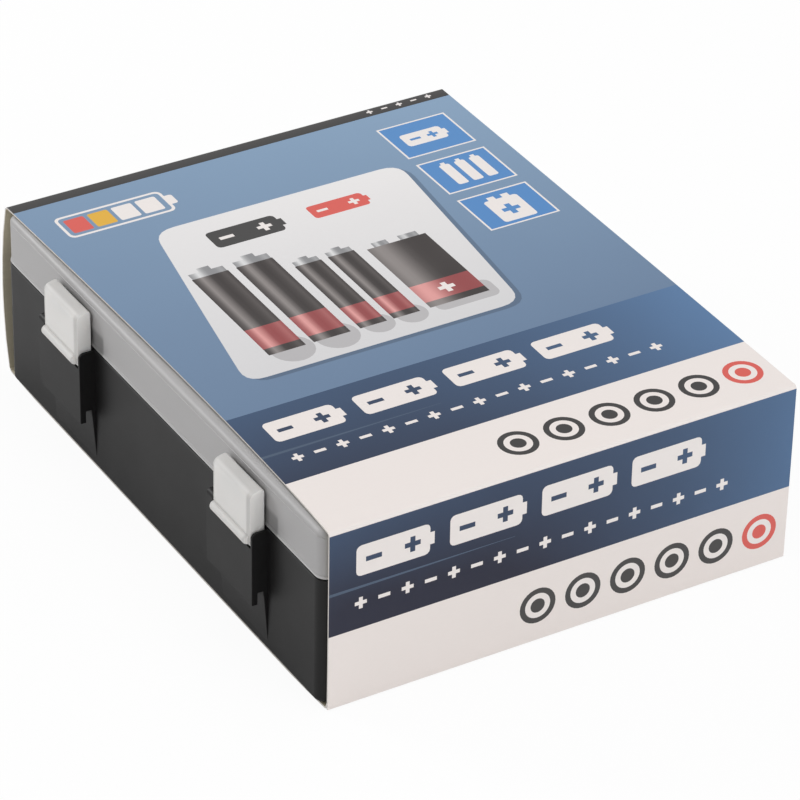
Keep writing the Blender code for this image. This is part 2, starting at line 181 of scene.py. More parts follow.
class Graph:
    """The shader graph of a material or of the surroundings."""

    def __init__(self, owner: Owner) -> None:
        """Empties the owner's graph.

        Args:
            owner: The material or the surroundings.
        """
        owner.use_nodes = True
        self.owner = owner
        self.tree = owner.node_tree
        self.tree.nodes.clear()

    def add(
        self,
        kind: str,
        settings: Optional[Mapping[str, Any]] = None,
        values: Optional[Mapping[Union[int, str], Any]] = None,
    ) -> bpy.types.Node:
        """Adds a node.

        Args:
            kind: Blender's name for the type of node.
            settings: Properties of the node, set before its sockets are filled.
            values: Numbers or links for its inputs, by name or place.

        Returns:
            The node.
        """
        fresh = self.tree.nodes.new(kind)
        for key, setting in (settings or {}).items():
            setattr(fresh, key, setting)
        for key, value in (values or {}).items():
            if isinstance(value, Value):
                self.tree.links.new(value.socket, fresh.inputs[key])
            else:
                fresh.inputs[key].default_value = value
        return fresh

    def node(self, *facts: Any, output: Union[int, str] = 0, **more: Any) -> Value:
        """Returns an output of a new node, whose facts are those that add takes."""
        return Value(self, self.add(*facts, **more).outputs[output])

    def math(self, operation: str, first: Amount, second: Amount = 0.0) -> Value:
        """Returns the outcome of a sum on two numbers."""
        return self.node("ShaderNodeMath", {"operation": operation}, {0: first, 1: second})

    def mix(self, share: Amount, first: Any, second: Any) -> Value:
        """Returns a colour part way from the first to the second."""
        settings = {"data_type": "RGBA"}
        return self.node("ShaderNodeMix", settings, {0: share, 6: first, 7: second}, output=2)

    def scaled(self, colour: Union[Colour, "Value"], by: Amount) -> Value:
        """Returns a colour with all its parts multiplied by one number."""
        settings = {"operation": "SCALE"}
        return self.node("ShaderNodeVectorMath", settings, {0: colour, 3: by})

    def attribute(self, name: str) -> Value:
        """Returns a colour or place that the mesh carries."""
        return self.node("ShaderNodeAttribute", {"attribute_name": name}, output="Vector")

    def parts(self, vector: Value) -> tuple[Value, ...]:
        """Returns the three parts of a vector."""
        split = self.add("ShaderNodeSeparateXYZ", values={0: vector})
        return tuple(Value(self, socket) for socket in split.outputs)

    def place(self) -> tuple[Value, ...]:
        """Returns the place on the piece in millimetres."""
        parts = self.parts(self.node("ShaderNodeTexCoord", output="Object"))
        return tuple(part / METRES for part in parts)

    def speckle(self, size: float, detail: float = 2.0, stretch: Place = (1.0, 1.0, 1.0)) -> Value:
        """Adds a cloudy pattern fixed to the piece.

        Args:
            size: Width of one cloud.
            detail: Number of finer layers.
            stretch: Factors by which the clouds lengthen along the three axes.

        Returns:
            The pattern, about nought to one.
        """
        place = self.node("ShaderNodeTexCoord", output="Object")
        factors = tuple(1.0 / (size * METRES * part) for part in stretch)
        sized = self.node("ShaderNodeMapping", values={0: place, 3: factors})
        return self.node("ShaderNodeTexNoise", values={"Vector": sized, "Scale": 1.0, "Detail": detail})

    def bump(self, height: Value, distance: float, strength: float = 1.0) -> Value:
        """Returns a surface direction that follows a height pattern."""
        values = {"Height": height, "Distance": distance * METRES, "Strength": strength}
        return self.node("ShaderNodeBump", values=values, output="Normal")

    def close(self, shader: Value) -> Owner:
        """Leads a shader to the graph's end.

        Args:
            shader: The shader.

        Returns:
            The graph's owner.
        """
        end = "World" if isinstance(self.owner, bpy.types.World) else "Material"
        self.add(f"ShaderNodeOutput{end}", values={"Surface": shader})
        return self.owner


# Finishes


@dataclass(frozen=True)
class Finish:
    """A way in which a surface can look.

    Attributes:
        name: Name of the material.
    """

    name: str

    def values(self, graph: Graph) -> dict[str, Any]:
        """Returns what goes into the usual shader's inputs."""
        raise NotImplementedError

    def shader(self, graph: Graph) -> Value:
        """Returns the shader."""
        return graph.node("ShaderNodeBsdfPrincipled", values=self.values(graph))

    def make(self) -> bpy.types.Material:
        """Builds the material."""
        graph = Graph(bpy.data.materials.new(self.name))
        return graph.close(self.shader(graph))


@dataclass(frozen=True)
class Moulding(Finish):
    """Moulded plastic with a fine grain and faint clouds of tone.

    Attributes:
        colour: Its colour.
        roughness: How matt it is.
        grain_size: Width of one grain.
        grain_height: Height of the grain.
        clearness: Share of light that goes through.
        depth: Share of light that spreads below the surface.
        gloss: Strength of the surface's own reflection.
        cloud: Strength of the clouds of tone.
    """

    colour: Colour
    roughness: float
    grain_size: float = 0.35
    grain_height: float = 0.012
    clearness: float = 0.0
    depth: float = 0.0
    gloss: float = 0.5
    cloud: float = 0.05

    def shade(self, graph: Graph) -> Amount:
        """Returns the tone before the clouds are added."""
        return 1.0

    def values(self, graph: Graph) -> dict[str, Any]:
        """Works out the shader's inputs.

        Args:
            graph: The material's graph.

        Returns:
            Values of the usual shader's inputs, by name.
        """
        clouds = graph.speckle(14.0, 3.0)
        grain = graph.speckle(self.grain_size, 3.0)
        tone = self.shade(graph) + (clouds - 0.5) * self.cloud * 2 + (grain - 0.5) * self.cloud
        return {
            "Base Color": graph.scaled(self.colour, tone),
            "Roughness": self.roughness + (clouds - 0.5) * 0.10 + (grain - 0.5) * 0.06,
            "Normal": graph.bump(grain, self.grain_height),
            "Transmission Weight": self.clearness,
            "Subsurface Weight": self.depth,
            "Subsurface Radius": (1.0, 0.95, 0.9),
            "Subsurface Scale": 2.0 * METRES,
            "Specular IOR Level": self.gloss,
            "IOR": 1.47,
        }


@dataclass(frozen=True)
class Frosted(Moulding):
    """Frosted plastic with painted shade before the tabs behind its front wall and a painted rim
    highlight.

    Attributes:
        tabs: Left and right of each tab, before which shade is painted.
        tab_top: Height at which the tabs and their painted shade end.
        rim: Height up to which a highlight is painted along the lower rim.
        front: How far forward the front wall starts.
    """

    tabs: tuple[Flat, ...] = ()
    tab_top: float = 0.0
    rim: float = 0.0
    front: float = 0.0

    def shade(self, graph: Graph) -> Amount:
        """Paints shade on the front wall before the tabs, and a highlight along the lower rim.

        Args:
            graph: The material's graph.

        Returns:
            The tone before the clouds are added.
        """
        x, y, z = graph.place()
        ahead = y.slope(self.front, -0.5)
        below = z.slope(self.tab_top, -1.4)
        # Painted highlight along the lower rim.
        tone = 1.0 + z.slope(self.rim, -0.25) * 0.30
        # Painted shade before each tab, standing in for the dark tab seen through the front wall.
        for left, right in self.tabs:
            inside = x.slope(left, 1.2) * x.slope(right, -1.0)
            tone = tone * (1.0 - inside * below * ahead * 0.46)
        return tone


@dataclass(frozen=True)
class Milky(Moulding):
    """Cloudy plastic with painted shade towards its front plates' edges and painted light on its side
    faces.

    Attributes:
        sides: Left and right of each latch.
        crest: Height of the front plate's upper end.
        foot: Height of the front plate's lower end.
    """

    sides: tuple[Flat, ...] = ()
    crest: float = 0.0
    foot: float = 0.0

    def shade(self, graph: Graph) -> Amount:
        """Keeps the front plates full, paints shade towards their edges and paints light on the side
        faces.

        Args:
            graph: The material's graph.

        Returns:
            The tone before the clouds are added.
        """
        x, _, z = graph.place()
        # Painted shade towards each front plate's side edges, crest and foot.
        core: Amount = 0.0
        for left, right in self.sides:
            core = core + x.slope(left, 0.9) * x.slope(right, -0.9)
        tall = z.slope(self.crest, -1.6) * (0.55 + 0.45 * z.slope(self.foot, 0.5))
        # Painted light on the faces that look along X.
        aside, _, _ = graph.parts(graph.node("ShaderNodeTexCoord", output="Normal"))
        return (0.74 + core * tall * 0.29) * (1.0 + aside * aside * 0.55)


@dataclass(frozen=True)
class PrintedCard(Finish):
    """Coated card that shows the inks which its faces carry, worn pale along the folds."""

    name: str = "coated_print"
    roughness: float = 0.36

    def values(self, graph: Graph) -> dict[str, Any]:
        """Works out the shader's inputs.

        Args:
            graph: The material's graph.

        Returns:
            Values of the usual shader's inputs, by name.
        """
        glow, _, fold = graph.parts(graph.attribute("spot"))
        clouds = graph.speckle(26.0, 2.0)
        fibre = graph.speckle(0.5, 4.0, (1.0, 3.0, 1.0))
        share = (glow + (clouds - 0.5) * 0.08).clamped()
        ink = graph.mix(share, graph.attribute("ink"), graph.attribute("bright"))
        wear = fold.slope(0.9, -0.9) * (0.10 + 0.45 * graph.speckle(1.6, 3.0, (1.0, 4.0, 1.0)))
        worn = graph.mix(wear, ink, (0.80, 0.78, 0.76, 1.0))
        return {
            "Base Color": graph.scaled(worn, 0.985 + fibre * 0.03),
            "Roughness": self.roughness + (fibre - 0.5) * 0.10 + wear * 0.3,
            "Normal": graph.bump(fibre, 0.006),
            "Specular IOR Level": 0.28,
        }


@dataclass(frozen=True)
class RawCard(Finish):
    """Bare card with a fibrous face."""

    pale: Colour
    dark: Colour
    roughness: float = 0.85

    def values(self, graph: Graph) -> dict[str, Any]:
        """Works out the shader's inputs.

        Args:
            graph: The material's graph.

        Returns:
            Values of the usual shader's inputs, by name.
        """
        fibre = graph.speckle(0.7, 4.0, (1.0, 5.0, 1.0))
        clouds = graph.speckle(9.0, 2.0)
        share = (fibre * 0.7 + clouds * 0.5 - 0.1).clamped()
        return {
            "Base Color": graph.mix(share, (*self.dark, 1.0), (*self.pale, 1.0)),
            "Roughness": self.roughness + (fibre - 0.5) * 0.1,
            "Normal": graph.bump(fibre, 0.02),
            "Specular IOR Level": 0.2,
        }


@dataclass(frozen=True)
class Steel(Finish):
    """Drawn steel wire with fine lines along it."""

    name: str = "drawn_steel"

    def values(self, graph: Graph) -> dict[str, Any]:
        """Works out the shader's inputs.

        Args:
            graph: The material's graph.

        Returns:
            Values of the usual shader's inputs, by name.
        """
        lines = graph.speckle(0.08, 3.0, (30.0, 1.0, 1.0))
        stain = graph.speckle(2.5, 2.0)
        return {
            "Base Color": graph.mix(stain, (0.46, 0.45, 0.44, 1.0), (0.60, 0.60, 0.61, 1.0)),
            "Roughness": 0.22 + lines * 0.16,
            "Metallic": 1.0,
            "Normal": graph.bump(lines, 0.004),
        }


@dataclass(frozen=True)
class FloorPaint(Finish):
    """Pale floor that keeps a shadow and fades into the white surroundings."""

    name: str = "floor"
    glow: float = 0.94

    def shader(self, graph: Graph) -> Value:
        """Shows light to the eye and through clear things, and matt paint to all else.

        Args:
            graph: The material's graph.

        Returns:
            The shader.
        """
        seen = graph.node("ShaderNodeLightPath", output="Is Camera Ray")
        through = graph.node("ShaderNodeLightPath", output="Is Transmission Ray")
        share = (seen + through).clamped() * self.glow
        paint = graph.node("ShaderNodeBsdfDiffuse", values={"Color": (0.86, 0.86, 0.86, 1.0)})
        light = graph.node("ShaderNodeEmission", values={"Color": (1.0, 1.0, 1.0, 1.0), "Strength": 1.0})
        return graph.node("ShaderNodeMixShader", values={0: share, 1: paint, 2: light})


# The lid's plastic carries painted shade before the base's tabs and a painted highlight along its lower
# rim.
FROSTED = Frosted("frosted_plastic", (0.60, 0.59, 0.59), 0.42, clearness=0.38, gloss=0.4, cloud=0.02,
                  tabs=((-53.0, -30.0), (46.0, 68.8)), tab_top=47.2, rim=41.45, front=-71.0)
# The latches' plastic carries painted shade towards the front plates' edges and painted light on their
# sides.
MILKY = Milky("milky_plastic", (0.80, 0.785, 0.765), 0.46, clearness=0.10, depth=0.35, gloss=0.35,
              cloud=0.03, sides=((-56.4, -38.0), (42.6, 61.0)), crest=51.9, foot=38.7)
BLACK = Moulding("satin_black_plastic", (0.0090, 0.0086, 0.0088), 0.44, grain_height=0.008, gloss=0.26,
                 cloud=0.10)
TRAY_BLACK = Moulding("matt_black_plastic", (0.014, 0.0135, 0.014), 0.50, gloss=0.25, cloud=0.12)
BOARD = RawCard("raw_board", (0.68, 0.62, 0.47), (0.53, 0.475, 0.35))
CUT_EDGE = RawCard("cut_edge", (0.80, 0.77, 0.74), (0.55, 0.51, 0.47))


@cache
def made(look: Finish) -> bpy.types.Material:
    """Returns the material of a finish, built the first time it is asked for."""
    return look.make()


# Flat outlines


def arc(centre: Flat, radius: float, start: float, end: float, steps: int = 8) -> list[Flat]:
    """Returns points on an arc whose angles are in degrees."""
    turns = [math.radians(start + (end - start) * step / steps) for step in range(steps + 1)]
    return [(centre[0] + radius * math.cos(turn), centre[1] + radius * math.sin(turn)) for turn in turns]


def rounded(
    left: float, low: float, right: float, high: float, radius: float, steps: int = 6
) -> list[Flat]:
    """Draws a rectangle with round corners, anticlockwise.

    Args:
        left: Its left.
        low: Its low side.
        right: Its right.
        high: Its high side.
        radius: Radius of its corners.
        steps: Pieces in each corner.

    Returns:
        The outline.
    """
    inner = ((right - radius, high - radius), (left + radius, high - radius),
             (left + radius, low + radius), (right - radius, low + radius))
    points: list[Flat] = []
    for quarter, centre in enumerate(inner):
        points += arc(centre, radius, quarter * 90, quarter * 90 + 90, steps)
    return points


def rectangle(left: float, low: float, right: float, high: float) -> list[Flat]:
    """Returns the corners of a rectangle, anticlockwise."""
    return [(left, low), (right, low), (right, high), (left, high)]


def ring(centre: Flat, radius: float, steps: int = 28) -> list[Flat]:
    """Returns the points of a circle."""
    return arc(centre, radius, 0, 360, steps)[:-1]


def blunted(corners: Sequence[Flat], radius: float, steps: int = 5) -> list[Flat]:
    """Rounds the corners of a polygon.

    Args:
        corners: The polygon.
        radius: How far along its sides each rounding starts.
        steps: Pieces in each rounding.

    Returns:
        The rounded polygon.
    """
    points: list[Flat] = []
    for index, corner in enumerate(corners):
        here = Vector(corner)
        before = (Vector(corners[index - 1]) - here).normalized() * radius
        after = (Vector(corners[(index + 1) % len(corners)]) - here).normalized() * radius
        for step in range(steps + 1):
            share = step / steps
            bent = here + before * (1 - share) ** 2 + after * share ** 2
            points.append((bent.x, bent.y))
    return points


# Solid bodies


def shown(name: str, data: bpy.types.ID) -> bpy.types.Object:
    """Adds an object to the scene.

    Args:
        name: Its name.
        data: Its mesh, lamp or camera.

    Returns:
        The object.
    """
    piece = bpy.data.objects.new(name, data)
    bpy.context.scene.collection.objects.link(piece)
    return piece


def meshed(name: str, points: Sequence[Any], faces: Sequence[Sequence[int]]) -> bpy.types.Object:
    """Adds an object made of points and faces.

    Args:
        name: Its name.
        points: The points.
        faces: Point numbers of each face.

    Returns:
        The object.
    """
    data = bpy.data.meshes.new(name)
    data.from_pydata(points, [], faces)
    return shown(name, data)


def smooth(data: bpy.types.Mesh, sharp: float) -> None:
    """Smooths a mesh but for the edges that turn by more than an angle in degrees."""
    data.shade_smooth()
    data.set_sharp_from_angle(angle=math.radians(sharp))


def traced(outlines: Sequence[Sequence[Flat]]) -> tuple[list[Vector], list[list[int]]]:
    """Lists outlines in the way that the triangulation takes.

    Args:
        outlines: The outlines.

    Returns:
        The points of all outlines, and the numbers of each outline's own points.
    """
    points: list[Vector] = []
    loops: list[list[int]] = []
    for outline in outlines:
        loops.append(list(range(len(points), len(points) + len(outline))))
        points += [Vector(point) for point in outline]
    return points, loops


def slab(size: int, near: Sequence[tuple[int, ...]]) -> list[tuple[int, ...]]:
    """Closes a sheet of triangles into a slab.

    Args:
        size: Number of points on one side; those of the far side follow those of the near side.
        near: The triangles of the near side.

    Returns:
        The faces of the near side, the far side and the edge.
    """
    far = [tuple(size + index for index in reversed(face)) for face in near]
    sides = {(face[turn], face[(turn + 1) % 3]) for face in near for turn in range(3)}
    edge = [(a, size + a, size + b, b) for a, b in sorted(sides) if (b, a) not in sides]
    return [*near, *far, *edge]


def settle(piece: bpy.types.Object, rider: Rider, nodes: Sequence[str]) -> bpy.types.Object:
    """Tells the frame what a piece is.

    Args:
        piece: The piece.
        rider: The body it moves with.
        nodes: The nodes it stands for.

    Returns:
        The piece.
    """
    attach(piece, rider.value)
    if nodes:
        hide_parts(*nodes)
    return piece


class Body:
    """One closed body being shaped."""

    def __init__(self, name: str, points: Sequence[Place], faces: Sequence[Sequence[int]]) -> None:
        """Makes the body of points and faces, with all faces turned outwards."""
        self.object = meshed(name, points, faces)
        self._point_out()

    @classmethod
    def loft(cls, name: str, loops: Sequence[Sequence[Place]], closed: bool = False) -> "Body":
        """Makes a body through loops that have as many points each.

        Args:
            name: Name of the piece.
            loops: The loops, in order.
            closed: Whether the last loop leads back to the first; else both are capped.

        Returns:
            The body.
        """
        size = len(loops[0])
        points = [point for loop in loops for point in loop]
        faces: list[Sequence[int]] = []
        pairs = list(range(len(loops) - 1)) + ([-1] if closed else [])
        for start in pairs:
            low = (start % len(loops)) * size
            high = ((start + 1) % len(loops)) * size
            for index in range(size):
                after = (index + 1) % size
                faces.append((low + index, low + after, high + after, high + index))
        if not closed:
            faces.append(tuple(reversed(range(size))))
            faces.append(tuple(range(len(points) - size, len(points))))
        return cls(name, points, faces)

    @classmethod
    def prism(cls, name: str, profile: Sequence[Flat], start: float, end: float) -> "Body":
        """Draws a profile of Y and Z out along X."""
        loops = [[(x, y, z) for y, z in profile] for x in (start, end)]
        return cls.loft(name, loops)

    @classmethod
    def rod(cls, name: str, centre: Place, radius: float, length: float, steps: int = 32) -> "Body":
        """Makes a round bar along X."""
        x, y, z = centre
        return cls.prism(name, ring((y, z), radius, steps), x - length / 2, x + length / 2)

    def _point_out(self) -> None:
        """Turns every face outwards."""
        mesh = bmesh.new()
        mesh.from_mesh(self.object.data)
        bmesh.ops.recalc_face_normals(mesh, faces=mesh.faces)
        mesh.to_mesh(self.object.data)
        mesh.free()

    def _apply(self) -> None:
        """Turns the modifiers into mesh."""
        graph = bpy.context.evaluated_depsgraph_get()
        data = bpy.data.meshes.new_from_object(self.object.evaluated_get(graph))
        before = self.object.data
        self.object.modifiers.clear()
        self.object.data = data
        bpy.data.meshes.remove(before)

    def _combine(self, tools: Sequence["Body"], operation: str) -> "Body":
        """Joins, cuts or keeps by other bodies, which are used up.

        Args:
            tools: The other bodies.
            operation: Name of what is done.

        Returns:
            This body.
        """
        for tool in tools:
            step = self.object.modifiers.new(operation, "BOOLEAN")
            step.operation = operation
            step.solver = "EXACT"
            step.object = tool.object
            self._apply()
            bpy.data.objects.remove(tool.object, do_unlink=True)
        return self

    def join(self, *tools: "Body") -> "Body":
        """Joins other bodies to this one."""
        return self._combine(tools, "UNION")

    def cut(self, *tools: "Body") -> "Body":
        """Cuts other bodies out of this one."""
        return self._combine(tools, "DIFFERENCE")

    def keep(self, *tools: "Body") -> "Body":
        """Keeps only what lies inside the other bodies."""
        return self._combine(tools, "INTERSECT")

    def soften(self, width: float, segments: int = 2, angle: float = 40.0) -> "Body":
        """Rounds sharp edges.

        Args:
            width: Width of the rounding.
            segments: Pieces in the rounding.
            angle: Turn in degrees above which an edge is sharp.

        Returns:
            This body.
        """
        step = self.object.modifiers.new("edges", "BEVEL")
        step.width = width
        step.segments = segments
        step.limit_method = "ANGLE"
        step.angle_limit = math.radians(angle)
        step.use_clamp_overlap = True
        step.miter_outer = "MITER_ARC"
        self._apply()
        return self

    def finish(self, look: Finish, slot: Slot, rider: Rider, nodes: Sequence[str]) -> bpy.types.Object:
        """Ends the shaping.

        Args:
            look: The finish.
            slot: The record's slot for it; not used.
            rider: The body it moves with.
            nodes: The nodes it stands for.

        Returns:
            The finished piece.
        """
        data = self.object.data
        data.name = self.object.name
        data.transform(Matrix.Scale(METRES, 4))
        data.materials.clear()
        data.materials.append(made(look))
        smooth(data, 35)
        even = self.object.modifiers.new("even", "WEIGHTED_NORMAL")
        even.keep_sharp = True
        self._apply()
        return settle(self.object, rider, nodes)


# The box's shared sizes


@dataclass(frozen=True)
class Plan:
    """Places that the lid, the base, the latches and the tray share."""

    middle: float = 0.5
    length: float = 182.2
    depth: float = 147.0
    corner: float = 3.6
    bottom: float = 0.8
    top: float = 55.2
    parting: float = 40.2
    lid_bottom: float = 40.5
    wall: float = 1.6
    catch_x: tuple[float, float] = (-48.0, 51.0)
    latch_offset: float = 1.4
    latch_out: float = 2.55
    latch_height: float = 50.0
    latch_hole: float = 0.75
    hinge_x: tuple[float, float] = (-48.5, 49.5)
    hinge_y: float = 76.4
    hinge_height: float = 40.35
    hinge_hole: float = 1.3
    hinge_width: float = 20.0
    knuckle: float = 2.6

    def outline(self, inset: float, height: float, steps: int = 10) -> list[Place]:
        """Draws the box's outline.

        Args:
            inset: How far it is drawn in.
            height: Its height.
            steps: Pieces in each corner.

        Returns:
            The points.
        """
        half_x = self.length / 2 - inset
        half_y = self.depth / 2 - inset
        radius = max(self.corner - inset, 0.3)
        flat = rounded(-half_x, -half_y, half_x, half_y, radius, steps)
        return [(self.middle + x, y, height) for x, y in flat]

    def front(self, points: Sequence[Flat]) -> list[Flat]:
        """Turns distances out from the front wall into Y, beside their heights."""
        return [(-self.depth / 2 - out, height) for out, height in points]

    def back(self, points: Sequence[Flat]) -> list[Flat]:
        """Turns distances out from the back wall into Y, beside their heights."""
        return [(self.depth / 2 + out, height) for out, height in points]

    def latch_axis(self, side: Side) -> Place:
        """Returns the middle of a latch's pin."""
        x = side.of(self.catch_x) + self.latch_offset
        return (x, -self.depth / 2 - self.latch_out, self.latch_height)

    def knuckle_outline(self, turn: int) -> list[Flat]:
        """Draws a hinge knuckle with its web.

        Args:
            turn: Whether the web runs down (-1) or up (1).

        Returns:
            Y and Z of its points.
        """
        barrel = arc((self.knuckle + 0.3, 0.0), self.knuckle, 165, 410, 22)
        points = [(-self.wall / 2, 0.45), *barrel, (1.2, 5.6), (0.0, 7.2), (-self.wall / 2, 7.2)]
        return self.back([(out, self.hinge_height + turn * rise) for out, rise in points])


PLAN = Plan()


def block(name: str, outline: Sequence[Flat], x: float, reach: float) -> Body:
    """Draws an outline on the front wall out along X, by a reach to both sides of its middle."""
    return Body.prism(name, PLAN.front(outline), x - reach, x + reach)


def add_hinge(body: Body, side: Side, turn: int, ends: Sequence[Flat]) -> None:
    """Adds knuckles to one hinge and bores them for the pin.

    Args:
        body: The body that gets the knuckles.
        side: The hinge.
        turn: Whether their webs run down (-1) or up (1).
        ends: Left and right of each knuckle, from the hinge's middle.
    """
    x = side.of(PLAN.hinge_x)
    outline = PLAN.knuckle_outline(turn)
    for left, right in ends:
        body.join(Body.prism("knuckle", outline, x + left, x + right).soften(0.25, angle=60))
    body.cut(Body.rod("bore", (x, PLAN.hinge_y, PLAN.hinge_height), PLAN.hinge_hole, PLAN.hinge_width))


# Printed sleeve


# Top and bottom of the longest page, whose fade a shape shares unless it is given another
WHOLE: Flat = (0.0, 186.0)


@dataclass(frozen=True)
class Page:
    """One printed panel of the blank.

    Attributes:
        start: Place along the blank where the page's top edge lies.
        down: Direction along the blank that runs down the page.
        across: Direction of Y that runs to the right on the page.
        width: Width of the page.
    """

    start: float
    down: int
    across: int
    width: float = 144.0

    def blank(self, x: float, y: float) -> Flat:
        """Returns the place on the blank of a place on the page."""
        return (self.start + self.down * y, self.across * (x - self.width / 2))

    def page(self, along: float, y: float) -> Flat:
        """Returns the place on the page of a place on the blank."""
        return (self.across * y + self.width / 2, (along - self.start) * self.down)


@dataclass(frozen=True)
class Patch:
    """One printed shape.

    Attributes:
        ink: Its ink.
        outline: Its outline on the blank, anticlockwise.
        page: The page it is on.
        span: Top and bottom on the page of the field whose fade it shares.
        barrel: Left and right on the page of the round thing that it is part of, if any.
    """

    ink: Ink
    outline: tuple[Flat, ...]
    page: Page
    span: Flat
    barrel: Optional[Flat] = None


@dataclass
class Print:
    """A list of printed shapes, where a later one covers those before it.

    Attributes:
        page: The page that is being printed.
        patches: The shapes so far.
    """

    page: Page
    patches: list[Patch] = field(default_factory=list)

    def add(
        self,
        ink: Ink,
        points: Sequence[Flat],
        span: Flat = WHOLE,
        barrel: Optional[Flat] = None,
    ) -> None:
        """Prints one shape.

        Args:
            ink: The ink.
            points: The outline, in page places.
            span: Top and bottom of the field whose fade the shape shares.
            barrel: Left and right of the round thing that the shape is part of, if any.
        """
        blank = [self.page.blank(x, y) for x, y in points]
        area = sum(a[0] * b[1] - b[0] * a[1] for a, b in zip(blank, blank[1:] + blank[:1]))
        if area < 0:
            blank.reverse()
        self.patches.append(Patch(ink, tuple(blank), self.page, span, barrel))

    def barrel(self, ink: Ink, box: Sequence[float], across: Flat, strips: int = 8) -> None:
        """Prints part of an upright cylinder in strips, so that it can be shaded round.

        Args:
            ink: The ink.
            box: Left, top, right and bottom of the part.
            across: Left and right of the whole cylinder.
            strips: Number of strips.
        """
        left, top, right, bottom = box
        for number in range(strips):
            low = left + (right - left) * number / strips
            high = left + (right - left) * (number + 1) / strips
            self.add(ink, rectangle(low, top, high, bottom), barrel=across)

    def frame(self, ink: Ink, inside: Ink, box: Sequence[float], line: float, span: Flat) -> None:
        """Prints a filled rectangle with a line round it.

        Args:
            ink: The line's ink.
            inside: The filling's ink.
            box: Left, top, right and bottom.
            line: Width of the line.
            span: Top and bottom of the field whose fade it shares.
        """
        left, top, right, bottom = box
        self.add(ink, rectangle(left, top, right, bottom), span)
        self.add(inside, rectangle(left + line, top + line, right - line, bottom - line), span)

    def sign(self, ink: Ink, centre: Flat, size: float, plus: bool) -> None:
        """Prints a plus or a minus.

        Args:
            ink: The ink.
            centre: Its middle.
            size: Its width.
            plus: Whether it is a plus.
        """
        x, y = centre
        thin = size * 0.16
        half = size / 2
        outline = rectangle(-half, -thin, half, thin)
        if plus:
            outline = []
            arm = [(-thin, -half), (thin, -half), (thin, -thin)]
            for _ in range(4):
                outline += arm
                arm = [(-down, right) for right, down in arm]
        self.add(ink, [(x + right, y + down) for right, down in outline])

    def signs(self, ink: Ink, first: Flat, gap: float, count: int, size: float) -> None:
        """Prints a row of plus and minus signs by turns."""
        for number in range(count):
            self.sign(ink, (first[0] + gap * number, first[1]), size, plus=number % 2 == 0)

    def lying_cell(self, box: Sequence[float], body: Ink, signs: Ink) -> None:
        """Prints a cell that lies on its side, with its signs.

        Args:
            box: Left, top, right and bottom.
            body: The cell's ink.
            signs: The signs' ink.
        """
        left, top, right, bottom = box
        middle = (top + bottom) / 2
        height = bottom - top
        knob = height * 0.2
        self.add(body, rounded(left, top, right, bottom, height * 0.16, 3))
        self.add(body, rectangle(right - 0.2, middle - knob, right + knob * 0.7, middle + knob))
        for x in (left + height * 0.55, right - height * 0.55):
            self.sign(signs, (x, middle), height * 0.5, plus=x > left + height)

    def case(self, box: Sequence[float], band: Flat, across: Flat) -> None:
        """Prints the dark case of an upright cell, with a coloured band near its foot.

        Args:
            box: Left, top, right and foot of the case.
            band: Top and foot of the band.
            across: Left and right of the round thing that the case is shaded as.
        """
        left, top, right, foot = box
        edges = (top, *band, foot)
        for ink, high, low in zip((Ink.BROWN, Ink.ROSE, Ink.BROWN), edges, edges[1:]):
            self.barrel(ink, (left, high, right, low), across)

    def standing_cell(self, x: float, foot: float, width: float, height: float) -> None:
        """Prints a cell that stands upright, with its cap and its shadow.

        Args:
            x: Its middle.
            foot: Its lower end.
            width: Its width.
            height: Its height.
        """
        left = x - width / 2
        right = x + width / 2
        top = foot - height
        rim = top + height * 0.06
        cap = width * 0.17
        self.add(Ink.UMBRA, ring((x + 1.5, foot), width * 0.56, 24))
        self.barrel(Ink.SILVER, (x - cap, top - cap, x + cap, top), (left, right), 4)
        self.barrel(Ink.SILVER, (left + 0.3, top, right - 0.3, rim), (left, right))
        band = (foot - height * 0.30, foot - height * 0.07)
        self.case((left, rim, right, foot), band, (left, right))

    def block_cell(self, x: float, foot: float, width: float, height: float) -> None:
        """Prints a square block battery with its two studs and its shadow.

        Args:
            x: Its middle.
            foot: Its lower end.
            width: Its width.
            height: Its height.
        """
        left = x - width / 2
        right = x + width / 2
        top = foot - height
        self.add(Ink.UMBRA, rounded(left + 1.5, foot - 6, right + 2.5, foot + 3, 2.5, 4))
        for stud, reach in ((x - width * 0.24, 2.4), (x + width * 0.24, 3.0)):
            ends = (stud - reach, stud + reach)
            self.barrel(Ink.SILVER, (ends[0], top - 2.4, ends[1], top), ends, 6)
        band = (foot - height * 0.34, foot - height * 0.08)
        self.case((left, top, right, foot), band, (left - 6, right + 10))
        self.sign(Ink.WHITE, (x, foot - height * 0.21), 5.0, plus=True)


